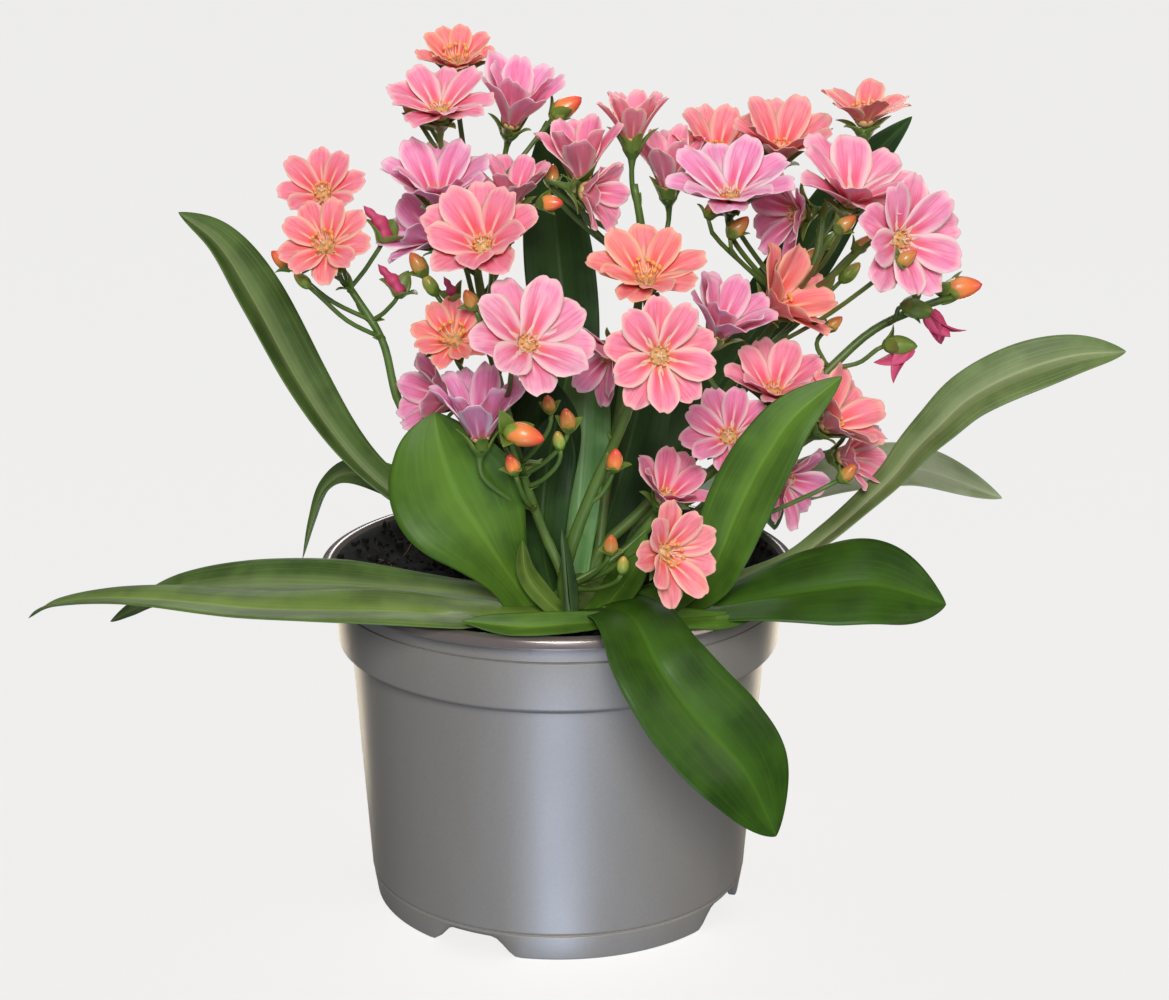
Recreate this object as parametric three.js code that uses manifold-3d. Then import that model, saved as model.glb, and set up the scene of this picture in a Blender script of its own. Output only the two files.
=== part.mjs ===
// A lewisia in flower in a 12 cm nursery pot. Millimetres, +Z up, the front towards -Y.
// The origin is on the floor under the middle of the pot.
import * as THREE from 'three';
import { mergeVertices } from 'three/addons/utils/BufferGeometryUtils.js';
import Module from 'manifold-3d';

const wasm = await Module();
wasm.setup();

const GAP = 0.3;                 // left between pieces that rest on or grow past each other

// The pot: a moulded wall with a lip, a collar and four feet
const LIP_RADIUS = 60;
const LIP_TOP = 87.9;
const LIP_UNDER = 85.2;
const COLLAR_RADIUS = 56.4;
const COLLAR_FOOT_RADIUS = 55.4;
const COLLAR_FOOT = 68.3;
const WALL_TOP_RADIUS = 52.2;
const WALL_TOP = 66.8;
const WALL_FOOT_RADIUS = 48.1;
const WALL_FOOT = 7.6;
const WALL = 1.6;
const GROOVE_RADIUS = 47.3;
const GROOVE = 6.9;
const FOOT_RADIUS = 46.8;
const FLOOR_UNDER = 6.6;
const FLOOR_TOP = 8.2;
const POT_SIDES = 36;
const FOOT_TURN = 18;            // degrees to the right of the front, the middle of the front foot
const FEET = 4;
const NOTCH_HALF_WIDTH = 12.1;
const NOTCH_TOP_HALF_WIDTH = 5.4;
const NOTCH_HEIGHT = 5;
const DRAIN_RADIUS = 4;
const DRAIN_PLACE = 36;

// The soil
const SOIL_TOP = 83;
const SOIL_SIDES = 20;
const SOIL_BUMP = 0.9;

// The crown, a little in front of the pot's axis
const CROWN = new THREE.Vector3(5, -22, 84);
const CROWN_PROFILE = [[0, -34], [2.4, -30], [4.8, -18], [7.6, -5], [8.8, 1], [6.6, 5.4], [0, 7]];
const CROWN_SIDES = 12;

// The plant's places are given as they are seen from the front, from VIEW_DISTANCE away and VIEW_RISE above
// the level: how far across and up they appear on the plane through the pot's axis, and their depth behind it
const VIEW_DISTANCE = 650;
const VIEW_RISE = THREE.MathUtils.degToRad(17.05);
const VIEW_HEIGHT = 100;

const LEAF_STATIONS = 8;
const LEAF_EDGE = 0.7;
const LEAF_RIB = 1.6;
const LEAF_TIP_SHARE = 0.08;     // of its width that a leaf has at its tip
const LEAF_POINT = 0.78;         // 0.5 is an elliptic tip, 1 a sharp one
const PETAL_WIDE = 0.66;         // where a petal is widest, as a share of its length
const PETAL_HALF_WIDTH = 0.28;   // as a share of its length
const PETAL_TIP_HALF_WIDTH = 0.15;
const PETAL_THICKNESS = 0.9;
const PETAL_BEND = 0.35;         // radians that a petal turns outwards along its length
const PETAL_SPREAD = 0.12;       // radians, and share of the length, by which petals differ
const WHORL_STEP = 0.11;         // radians by which every other petal stands in or out
const SECTOR_SHARE = 0.88;       // of its sector that a petal may fill
const GROWN_SECTOR_SHARE = 0.97;
const THROAT_RADIUS = 2.2;
const THROAT_DEPTH = 1.6;
const THROAT_TOP = 3.4;
const CALYX_LENGTH = 5;
const CALYX_RADIUS = 2.4;
const CALYX_RIM_RADIUS = 2.1;
const BUD_LENGTH = 7.5;
const BUD_RADIUS = 2;
const BUD_PROFILE = [[0.66, 1], [0.3, 0.85], [0, 0.2]];  // share of the length left, and of the radius
const PEDICEL_SIDES = 4;
const PEDICEL_RADIUS = 0.75;
const PEDICEL_END_RUN = 8;       // straight behind the calyx
const PEDICEL_SAG = 1.5;
const PEDICEL_RISE = 0.6;        // least rise of a side branch for each millimetre outwards
const SCAPE_SIDES = 6;
const SCAPE_STEPS = 7;
const SCAPE_TIP_RADIUS = 0.9;

const silverPlastic = new THREE.MeshStandardMaterial({ color: 0x8f9095, roughness: 0.38, metalness: 0.35 });
const peat = new THREE.MeshStandardMaterial({ color: 0x17130f, roughness: 1, metalness: 0 });
const bark = new THREE.MeshStandardMaterial({ color: 0x4d5a2a, roughness: 0.8, metalness: 0 });
const leafGreen = new THREE.MeshStandardMaterial({ color: 0x3f6420, roughness: 0.45, metalness: 0 });
const stalkGreen = new THREE.MeshStandardMaterial({ color: 0x6b7a2e, roughness: 0.55, metalness: 0 });
const petalPink = new THREE.MeshStandardMaterial({ color: 0xef8fa6, roughness: 0.5, metalness: 0 });
const petalOrange = new THREE.MeshStandardMaterial({ color: 0xf09468, roughness: 0.5, metalness: 0 });

// A number between 0 and 1 that looks drawn by chance but is the same each time
function jitter(n) {
  const value = Math.sin(n * 12.9898) * 43758.5453;
  return value - Math.floor(value);
}

// The place that appears at (across, up) from the front and lies at the given depth
function seen([across, up, depth]) {
  const cos = Math.cos(VIEW_RISE);
  const sin = Math.sin(VIEW_RISE);
  const slope = up / VIEW_DISTANCE;
  const z = (up + depth * (slope * cos - sin)) / (cos + slope * sin);
  const x = (across / VIEW_DISTANCE) * (VIEW_DISTANCE + depth * cos - z * sin);
  return new THREE.Vector3(x, depth, z + VIEW_HEIGHT);
}

function solidOf(geometry) {
  geometry.deleteAttribute('normal');
  geometry.deleteAttribute('uv');
  const merged = mergeVertices(geometry, 1e-4);
  const mesh = new wasm.Mesh({
    numProp: 3,
    vertProperties: new Float32Array(merged.attributes.position.array),
    triVerts: new Uint32Array(merged.index.array),
  });
  return new wasm.Manifold(mesh);
}

function geometryOf(solid) {
  const mesh = solid.getMesh();
  const geometry = new THREE.BufferGeometry();
  geometry.setAttribute('position', new THREE.BufferAttribute(mesh.vertProperties, 3));
  geometry.setIndex(new THREE.BufferAttribute(mesh.triVerts, 1));
  geometry.computeVertexNormals();
  return geometry;
}

function join(solids) {
  return wasm.Manifold.union(solids);
}

// A turned solid from its profile, standing on a place along a direction
function turned(profile, sides, place, direction) {
  const points = profile.map(([r, h]) => new THREE.Vector2(r, h));
  const geometry = new THREE.LatheGeometry(points, sides);
  const turn = new THREE.Quaternion().setFromUnitVectors(new THREE.Vector3(0, 1, 0), direction);
  geometry.applyQuaternion(turn);
  geometry.translate(place.x, place.y, place.z);
  return solidOf(geometry);
}

const UP = new THREE.Vector3(0, 0, 1);

// A closed solid from rows of points: each row has the same number of points over and under.
// Both faces are split along the same diagonals, so a thin twisted blade doesn't cross itself.
function blade(rows) {
  const across = rows[0].over.length;
  const points = rows.flatMap((row) => [...row.over, ...row.under]);
  const over = (j, i) => j * 2 * across + i;
  const under = (j, i) => j * 2 * across + across + i;
  const faces = [];
  const quad = (a, b, c, d) => faces.push(a, b, c, a, c, d);
  for (let j = 0; j + 1 < rows.length; j += 1) {
    for (let i = 0; i + 1 < across; i += 1) {
      quad(over(j, i), over(j, i + 1), over(j + 1, i + 1), over(j + 1, i));
      faces.push(under(j, i), under(j + 1, i + 1), under(j, i + 1));
      faces.push(under(j, i), under(j + 1, i), under(j + 1, i + 1));
    }
    const last = across - 1;
    quad(over(j, 0), over(j + 1, 0), under(j + 1, 0), under(j, 0));
    quad(over(j, last), under(j, last), under(j + 1, last), over(j + 1, last));
  }
  const end = rows.length - 1;
  for (let i = 0; i + 1 < across; i += 1) {
    quad(over(0, i), under(0, i), under(0, i + 1), over(0, i + 1));
    quad(over(end, i), over(end, i + 1), under(end, i + 1), under(end, i));
  }
  return closed(points, faces);
}

// A solid from points and faces, turned the right way out
function closed(points, faces) {
  let volume = 0;
  for (let f = 0; f < faces.length; f += 3) {
    const [a, b, c] = [points[faces[f]], points[faces[f + 1]], points[faces[f + 2]]];
    volume += a.dot(new THREE.Vector3().crossVectors(b, c));
  }
  const index = volume > 0 ? faces : faces.slice().reverse();
  const geometry = new THREE.BufferGeometry().setFromPoints(points);
  geometry.setIndex(index);
  return solidOf(geometry);
}

// A round rod along a curve: each ring is a distance along it and a radius
function rod(curve, rings, sides) {
  const length = curve.getLength();
  const points = [];
  const faces = [];
  const steps = rings.length - 1;
  let across = new THREE.Vector3(0.31, 0.87, 0.39);
  rings.forEach(([distance, radius]) => {
    const share = THREE.MathUtils.clamp(distance / length, 0, 1);
    const centre = curve.getPointAt(share);
    const along = curve.getTangentAt(share);
    across = across.addScaledVector(along, -across.dot(along)).normalize();
    const third = new THREE.Vector3().crossVectors(along, across);
    for (let i = 0; i < sides; i += 1) {
      const angle = (2 * Math.PI * i) / sides;
      const point = centre.clone().addScaledVector(across, radius * Math.cos(angle));
      points.push(point.addScaledVector(third, radius * Math.sin(angle)));
    }
  });
  for (let j = 0; j < steps; j += 1) {
    for (let i = 0; i < sides; i += 1) {
      const next = (i + 1) % sides;
      const [a, b, c, d] = [j * sides + i, j * sides + next, (j + 1) * sides + next, (j + 1) * sides + i];
      faces.push(a, b, c, a, c, d);
    }
  }
  const top = steps * sides;
  for (let i = 1; i + 1 < sides; i += 1) {
    faces.push(0, i + 1, i);
    faces.push(top, top + i, top + i + 1);
  }
  return closed(points, faces);
}

function smooth(points) {
  return new THREE.CatmullRomCurve3(points, false, 'catmullrom', 0.5);
}

// The pot: a turned wall and floor, with notches between the feet and drain holes through the floor
function makePot() {
  const profile = [
    [0, FLOOR_UNDER], [GROOVE_RADIUS - 2.7, FLOOR_UNDER], [FOOT_RADIUS - 1.9, 0], [FOOT_RADIUS, 0],
    [WALL_FOOT_RADIUS - 0.2, GROOVE - 0.7], [GROOVE_RADIUS, GROOVE], [WALL_FOOT_RADIUS, WALL_FOOT],
    [WALL_TOP_RADIUS, WALL_TOP], [COLLAR_FOOT_RADIUS, COLLAR_FOOT], [COLLAR_RADIUS, LIP_UNDER - 0.2],
    [LIP_RADIUS - 0.6, LIP_UNDER], [LIP_RADIUS, LIP_UNDER + 1.3], [LIP_RADIUS - 0.7, LIP_TOP],
    [LIP_RADIUS - 2.6, LIP_TOP], [COLLAR_RADIUS - WALL, LIP_UNDER - 0.2],
    [COLLAR_FOOT_RADIUS - WALL, COLLAR_FOOT + 1.3], [WALL_TOP_RADIUS - WALL, WALL_TOP - 0.4],
    [WALL_FOOT_RADIUS - WALL, FLOOR_TOP], [0, FLOOR_TOP],
  ];
  let pot = turned(profile, POT_SIDES, new THREE.Vector3(), UP);
  const notch = new THREE.Shape();
  notch.moveTo(-NOTCH_HALF_WIDTH - 1, -1);
  notch.lineTo(NOTCH_HALF_WIDTH + 1, -1);
  notch.lineTo(NOTCH_TOP_HALF_WIDTH, NOTCH_HEIGHT);
  notch.lineTo(-NOTCH_TOP_HALF_WIDTH, NOTCH_HEIGHT);
  notch.closePath();
  for (let k = 0; k < FEET; k += 1) {
    const angle = THREE.MathUtils.degToRad(FOOT_TURN - 90 + 360 / FEET / 2 + (360 / FEET) * k);
    const cutter = new THREE.ExtrudeGeometry(notch, { depth: 20, bevelEnabled: false });
    cutter.translate(0, 0, 38);
    cutter.rotateX(Math.PI / 2);
    cutter.rotateZ(angle + Math.PI / 2);
    const drain = new THREE.CylinderGeometry(DRAIN_RADIUS, DRAIN_RADIUS, 6, 10);
    drain.rotateX(Math.PI / 2);
    drain.translate(DRAIN_PLACE * Math.cos(angle), DRAIN_PLACE * Math.sin(angle), FLOOR_TOP);
    pot = pot.subtract(solidOf(cutter)).subtract(solidOf(drain));
  }
  return pot;
}

// The soil: a plug that fills the pot, with a crumbly top and a hole for the taproot
function makeSoil(crownHole) {
  const profile = [
    [0, FLOOR_TOP + GAP], [WALL_FOOT_RADIUS - WALL - 0.4, FLOOR_TOP + GAP],
    [WALL_TOP_RADIUS - WALL - 0.4, WALL_TOP - 0.3], [COLLAR_FOOT_RADIUS - WALL - 0.4, COLLAR_FOOT + 1.5],
    [COLLAR_RADIUS - WALL - 0.9, SOIL_TOP - 0.6], [43, SOIL_TOP], [30, SOIL_TOP], [15, SOIL_TOP + 0.4],
    [0, SOIL_TOP + 0.5],
  ];
  const geometry = new THREE.LatheGeometry(profile.map(([r, h]) => new THREE.Vector2(r, h)), SOIL_SIDES);
  geometry.rotateX(Math.PI / 2);
  const place = geometry.attributes.position;
  for (let i = 0; i < place.count; i += 1) {
    const [x, y] = [place.getX(i), place.getY(i)];
    if (place.getZ(i) > SOIL_TOP - 0.1 && Math.hypot(x, y) > 1) {
      const bump = Math.sin(x * 0.61 + 1.3) * Math.cos(y * 0.53 - 0.7) + 0.5 * Math.sin(x * 1.7 - y * 1.3);
      place.setZ(i, place.getZ(i) + SOIL_BUMP * bump * 0.6);
    }
  }
  return solidOf(geometry).subtract(crownHole);
}

function makeCrown(extra) {
  const profile = CROWN_PROFILE.map(([r, h], i) => {
    const end = i === 0 || i === CROWN_PROFILE.length - 1;
    return [end ? 0 : r + extra, h + (end ? Math.sign(h) * extra : 0)];
  });
  return turned(profile, CROWN_SIDES, CROWN, UP);
}

// A leaf: a spoon-shaped blade along a smooth line, folded into a gutter along its rib. Its half-width keeps to
// its share at the foot as far as the waist, grows from there to the widest place and closes in a pointed tip.
function leafHalfWidth(s, [width, foot, waist, widest]) {
  if (s <= widest) {
    return width * THREE.MathUtils.lerp(foot, 1, THREE.MathUtils.smoothstep(s, waist, widest));
  }
  const rest = (s - widest) / (1 - widest);
  return width * Math.max(LEAF_TIP_SHARE, (1 - rest ** 2) ** LEAF_POINT);
}

function makeLeaf(leaf, extra) {
  const line = smooth(leaf.line.map(leaf.plain ? (p) => new THREE.Vector3(...p) : seen));
  const rows = [];
  for (let j = 0; j < LEAF_STATIONS; j += 1) {
    const s = j / (LEAF_STATIONS - 1);
    const centre = line.getPointAt(s);
    const along = line.getTangentAt(s);
    const face = new THREE.Vector3(...leaf.face[0]).normalize();
    face.lerp(new THREE.Vector3(...leaf.face[1]).normalize(), s);
    const side = new THREE.Vector3().crossVectors(along, face).normalize();
    const normal = new THREE.Vector3().crossVectors(side, along).normalize();
    const half = leafHalfWidth(s, leaf.form) + extra;
    const lift = leaf.fold * half;
    const at = (a, n) => centre.clone().addScaledVector(side, a).addScaledVector(normal, n);
    rows.push({
      over: [at(-half, lift + extra), at(0, extra), at(half, lift + extra)],
      under: [at(-half, lift - LEAF_EDGE - extra), at(0, -LEAF_RIB - extra), at(half, lift - LEAF_EDGE - extra)],
    });
  }
  return blade(rows);
}

// A bloom stands on its calyx and faces a direction given by its turn to the right of the front
// and its tilt above the level, both in degrees
function facing(bloom) {
  const turn = THREE.MathUtils.degToRad(bloom.turn);
  const tilt = THREE.MathUtils.degToRad(bloom.tilt);
  return new THREE.Vector3(
    Math.sin(turn) * Math.cos(tilt), -Math.cos(turn) * Math.cos(tilt), Math.sin(tilt));
}

// A bloom: petals round a throat, in one body. Each petal leaves the throat at an angle to the bloom's axis
// and bends outwards. With a = opening + bend t, its radius grows by (cos(opening) - cos(a)) L / bend and its
// height by (sin(a) - sin(opening)) L / bend, t from 0 to 1. It keeps to its own sector round the axis.
function makeBloom(bloom, extra) {
  const axis = facing(bloom);
  const level = new THREE.Vector3(-axis.y, axis.x, 0).normalize();
  const third = new THREE.Vector3().crossVectors(axis, level);
  const base = seen(bloom.place);
  const thick = PETAL_THICKNESS / 2 + extra;
  const count = bloom.petals;
  const sector = (2 * Math.PI) / count;
  const sectorShare = extra > 0 ? GROWN_SECTOR_SHARE : SECTOR_SHARE;
  const roll = jitter(bloom.number) * sector;
  const points = [
    base.clone().addScaledVector(axis, THROAT_TOP + extra), base.clone().addScaledVector(axis, -extra)];
  const outward = (angle) =>
    level.clone().multiplyScalar(Math.cos(angle)).addScaledVector(third, Math.sin(angle));
  const rim = base.clone().addScaledVector(axis, THROAT_DEPTH);
  for (let k = 0; k < count; k += 1) {
    const centre = rim.clone().addScaledVector(outward(roll + (k - 0.5) * sector), THROAT_RADIUS + extra);
    points.push(centre.clone().addScaledVector(axis, thick), centre.clone().addScaledVector(axis, -thick));
  }
  const faces = [];
  const quad = (a, b, c, d) => faces.push(a, b, c, a, c, d);
  for (let k = 0; k < count; k += 1) {
    const seed = bloom.number * 17 + k;
    const [turnDraw, openDraw, lengthDraw] = [0, 5, 9].map((n) => PETAL_SPREAD * (jitter(seed + n) - 0.5));
    const out = outward(roll + k * sector + turnDraw);
    const side = new THREE.Vector3().crossVectors(axis, out);
    const whorl = k % 2 === 0 ? WHORL_STEP : -WHORL_STEP;
    const opening = THREE.MathUtils.degToRad(bloom.open) - PETAL_BEND / 2 + whorl + openDraw;
    const length = bloom.petal * (1 + lengthDraw);
    const stations = [
      [PETAL_WIDE, PETAL_HALF_WIDTH * bloom.petal + extra], [1, PETAL_TIP_HALF_WIDTH * bloom.petal + extra]];
    const first = points.length;
    for (const [t, wish] of stations) {
      const bent = opening + PETAL_BEND * t;
      const run = length + (t === 1 ? extra : 0);
      const radius = THROAT_RADIUS + ((Math.cos(opening) - Math.cos(bent)) * run) / PETAL_BEND;
      const height = ((Math.sin(bent) - Math.sin(opening)) * run) / PETAL_BEND;
      const centre = rim.clone().addScaledVector(out, radius).addScaledVector(axis, height);
      const normal = axis.clone().multiplyScalar(Math.sin(bent)).addScaledVector(out, -Math.cos(bent));
      const half = Math.min(wish, sectorShare * radius * Math.tan(sector / 2));
      for (const [a, n] of [[-half, thick], [-half, -thick], [half, thick], [half, -thick]]) {
        points.push(centre.clone().addScaledVector(side, a).addScaledVector(normal, n));
      }
    }
    const left = 2 + 2 * k;
    const right = 2 + 2 * ((k + 1) % count);
    const [wide, tip] = [first, first + 4];
    faces.push(0, left, right, 1, right + 1, left + 1);
    quad(left, wide, wide + 2, right);
    quad(wide, tip, tip + 2, wide + 2);
    faces.push(left + 1, wide + 3, wide + 1, left + 1, right + 1, wide + 3);
    faces.push(wide + 1, tip + 3, tip + 1, wide + 1, wide + 3, tip + 3);
    quad(left, left + 1, wide + 1, wide);
    quad(wide, wide + 1, tip + 1, tip);
    quad(right, wide + 2, wide + 3, right + 1);
    quad(wide + 2, tip + 2, tip + 3, wide + 3);
    quad(tip, tip + 1, tip + 3, tip + 2);
  }
  return closed(points, faces);
}

// The pedicel leaves the scape at the nearest place that lies clearly lower than its end. Each place that is
// too high costs three times what it is too high by.
function pedicelCurve(path, end, direction) {
  const before = end.clone().addScaledVector(direction, -PEDICEL_END_RUN);
  let best = null;
  for (let k = 2; k <= 20; k += 1) {
    const start = path.getPointAt(k / 20);
    const away = Math.hypot(start.x - before.x, start.y - before.y);
    const highest = before.z - 2 * PEDICEL_SAG - PEDICEL_RISE * away;
    const cost = start.distanceTo(before) + 3 * Math.max(0, start.z - highest);
    if (best === null || cost < best.cost) {
      best = { cost, start };
    }
  }
  const middle = best.start.clone().lerp(before, 0.55).addScaledVector(UP, -PEDICEL_SAG);
  return smooth([best.start, middle, before, end]);
}

// A pedicel that widens into the calyx under a bloom
function makePedicel(path, bloom, extra) {
  const direction = facing(bloom);
  const curve = pedicelCurve(path, seen(bloom.place).addScaledVector(direction, -GAP), direction);
  const length = curve.getLength();
  const thin = PEDICEL_RADIUS + extra;
  const rings = [
    [0, thin], [(length - CALYX_LENGTH) / 2, thin], [length - CALYX_LENGTH, thin],
    [length - CALYX_LENGTH / 2, CALYX_RADIUS + extra], [length, CALYX_RIM_RADIUS + extra]];
  return rod(curve, rings, PEDICEL_SIDES);
}

// A pedicel that ends in a bud. A bud without a way of its own leans out from the crown.
function makeBud(path, [across, up, depth, size, way], extra) {
  const place = seen([across, up, depth]);
  const lean = new THREE.Vector3(...(way ?? [place.x - CROWN.x, place.y - CROWN.y, 60])).normalize();
  const curve = pedicelCurve(path, place.addScaledVector(lean, (BUD_LENGTH / 2) * size), lean);
  const length = curve.getLength();
  const thin = PEDICEL_RADIUS + extra;
  const bud = BUD_LENGTH * size;
  const swell = BUD_PROFILE.map(([left, share]) => [length - bud * left, BUD_RADIUS * size * share + extra]);
  return rod(curve, [[0, thin], [length - bud, thin], ...swell], PEDICEL_SIDES);
}

// A flower stalk: the scape, with a pedicel and calyx for each bloom and a pedicel for each bud
function makeStalk(stalk, extra) {
  const solids = [];
  for (const scape of stalk.scapes) {
    const path = smooth(scape.line.map(seen));
    const length = path.getLength();
    const rings = [];
    for (let k = 0; k <= SCAPE_STEPS; k += 1) {
      const share = k / SCAPE_STEPS;
      rings.push([share * length, THREE.MathUtils.lerp(scape.thick, SCAPE_TIP_RADIUS, share) + extra]);
    }
    solids.push(rod(path, rings, SCAPE_SIDES));
    for (const bloom of blooms.filter((b) => b.scape === scape.name)) {
      solids.push(makePedicel(path, bloom, extra));
    }
    for (const bud of scape.buds) {
      solids.push(makeBud(path, bud, extra));
    }
  }
  return join(solids);
}

// The leaves: the form is the half-width, the share of it at the foot, the waist and the widest place, then come
// the fold, which way the blade faces at its base and its tip, and its line from the crown to the tip
const leaves = [
  { name: 'leaf_upper_left', form: [7.6, 0.62, 0.3, 0.78], fold: 0.45, face: [[0.6, -0.5, 0.6], [0.7, -0.6, 0.5]],
    line: [[0, -24, -20], [-12, -14, -16], [-28, -4, -8], [-43, 6, -2], [-54, 17, 2], [-65, 33, 5], [-76, 53, 7],
      [-85, 67, 8], [-95, 75, 8]] },
  { name: 'leaf_broad_front', form: [15.5, 0.36, 0.2, 0.67], fold: 0.12, face: [[0.1, -1, 0.5], [-0.1, -1, 0.2]],
    line: [[-4, -27, -33], [-12, -16, -37], [-18.5, -6, -39], [-25.5, 5, -38], [-29.5, 16, -36], [-31, 25, -33]] },
  { name: 'leaf_back_bending', form: [4.5, 0.6, 0, 0.4], fold: 0.3, face: [[0.2, -0.6, 0.8], [-0.9, -0.2, 0.3]],
    line: [[0, -18, -14], [-20, -3, 4], [-38, 6, 16], [-51, 10, 21], [-58, 6.5, 23], [-61.5, -2, 22],
      [-64, -12, 20]] },
  { name: 'leaf_left_front', form: [8.5, 0.9, 0, 0.5], fold: 0.14, face: [[0.1, -0.12, 1], [0, -0.12, 1]],
    line: [[3, -26, -34], [-18, -26, -44], [-40, -24.6, -49], [-58, -24.3, -47], [-76, -23.8, -41],
      [-98, -21.8, -30], [-115, -21.3, -20], [-127, -23, -10], [-132.5, -26.5, -4]] },
  { name: 'leaf_left_back', form: [8, 0.6, 0, 0.6], fold: 0.2, face: [[0.1, -0.2, 1], [-0.1, -0.55, 1]],
    line: [[-2, -23, -25], [-22, -20.5, -29], [-40, -19, -30], [-57, -18, -28], [-78, -18, -20], [-96, -20, -10],
      [-106, -24, -4], [-112, -27.3, -1]] },
  { name: 'leaf_right_upright', form: [7.8, 0.6, 0, 0.58], fold: 0.2, face: [[-0.3, -1, 0.5], [-0.3, -1, 0.4]],
    line: [[14, -25, -33], [28, -22, -38], [37, -16.5, -42], [41, -9, -45], [44, -1.5, -46], [48, 7, -46],
      [52.5, 15, -46], [59, 24, -45], [71, 34, -43]] },
  { name: 'leaf_far_right', form: [6.4, 0.5, 0.45, 0.82], fold: 0.3, face: [[-0.7, -0.1, 0.8], [0.1, -0.8, 0.8]],
    line: [[12, -23, -24], [28, -20.5, -22], [42, -18, -20], [57, -13, -20], [67, -6, -21], [75.5, 1.3, -22],
      [83.5, 8.8, -22], [89, 15.5, -23], [95, 21.5, -24], [103, 28.8, -24], [115, 35, -24], [129, 39.2, -24],
      [142, 40.2, -24]] },
  { name: 'leaf_right_back', form: [8, 0.3, 0, 0.68], fold: 0.2, face: [[-0.3, -0.5, 0.9], [0, -0.6, 0.9]],
    line: [[8, -18, -14], [20, -12, -2], [35, -4, 12], [53, 4, 22], [68, 9, 26], [80, 11, 28], [92, 10.5, 30],
      [111, 3.5, 30]] },
  { name: 'leaf_right_low', form: [12, 0.42, 0.2, 0.72], fold: 0.1, face: [[0, -0.3, 1], [0.2, -0.75, 0.8]],
    line: [[12, -24, -32], [28, -24.5, -38], [41, -23, -42], [53, -21, -44], [66, -19, -44], [80, -18, -44],
      [97, -23, -40]] },
  { name: 'leaf_front_drooping', form: [12.8, 0.55, 0, 0.62], fold: 0.1, face: [[0, -0.3, 1], [0.3, -1, 0.3]],
    line: [[8, -24, -34], [15, -24, -48], [20, -28, -59], [25, -38, -68], [32, -48, -71], [40, -57, -72],
      [47.5, -66, -71], [54.5, -81, -66]] },
  { name: 'leaf_pale_middle', form: [6.5, 0.6, 0, 0.6], fold: 0.25, face: [[0, -1, 0.4], [0, -1, 0.1]],
    line: [[3, -21, -20], [4, -9, -16], [5.5, 6, -11], [6.5, 21, -7], [7, 35, -3], [7, 46, 1]] },
  { name: 'leaf_tall_back', form: [9, 0.3, 0, 0.66], fold: 0.3, face: [[0, -1, 0.4], [0, -1, -0.2]],
    line: [[4, -17, -12], [4, -2, 2], [3, 22, 14], [2, 45, 24], [0, 65, 30], [-2, 83, 33], [-3, 98, 33]] },
  { name: 'leaf_tall_right', form: [8, 0.3, 0, 0.66], fold: 0.3, face: [[0, -1, 0.4], [0, -1, 0.2]],
    line: [[8, -17, -10], [14, -6, 8], [28, 14, 24], [44, 38, 36], [62, 65, 42], [76, 86, 44], [88.5, 99, 44]] },
  { name: 'leaf_behind_front', form: [5, 0.6, 0, 0.6], fold: 0.4, face: [[0, -1, 0.4], [0, -1, 0.1]],
    line: [[0, -23, -26], [-4, -14, -26], [-6, -2, -25], [-6, 9, -22], [-5, 20, -18]] },
  { name: 'leaf_rear_left', form: [11, 0.3, 0, 0.62], fold: 0.15, plain: true, face: [[0, 0.3, 1], [0, 0.3, 1]],
    line: [[1, -14, 87], [-8, 4, 98], [-18, 26, 104], [-27, 48, 103], [-34, 66, 94], [-38, 76, 80]] },
  { name: 'leaf_rear_middle', form: [12, 0.3, 0, 0.62], fold: 0.15, plain: true, face: [[0, -0.2, 1], [0, 0.4, 1]],
    line: [[5, -13, 89], [6, 6, 102], [8, 28, 112], [10, 48, 115], [12, 64, 108], [13, 76, 94]] },
  { name: 'leaf_rear_right', form: [11, 0.3, 0, 0.62], fold: 0.15, plain: true, face: [[0, 0.2, 1], [0.2, 0.2, 1]],
    line: [[10, -15, 88], [20, 2, 96], [32, 22, 99], [44, 42, 97], [54, 58, 88], [60, 68, 74]] },
];

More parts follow.
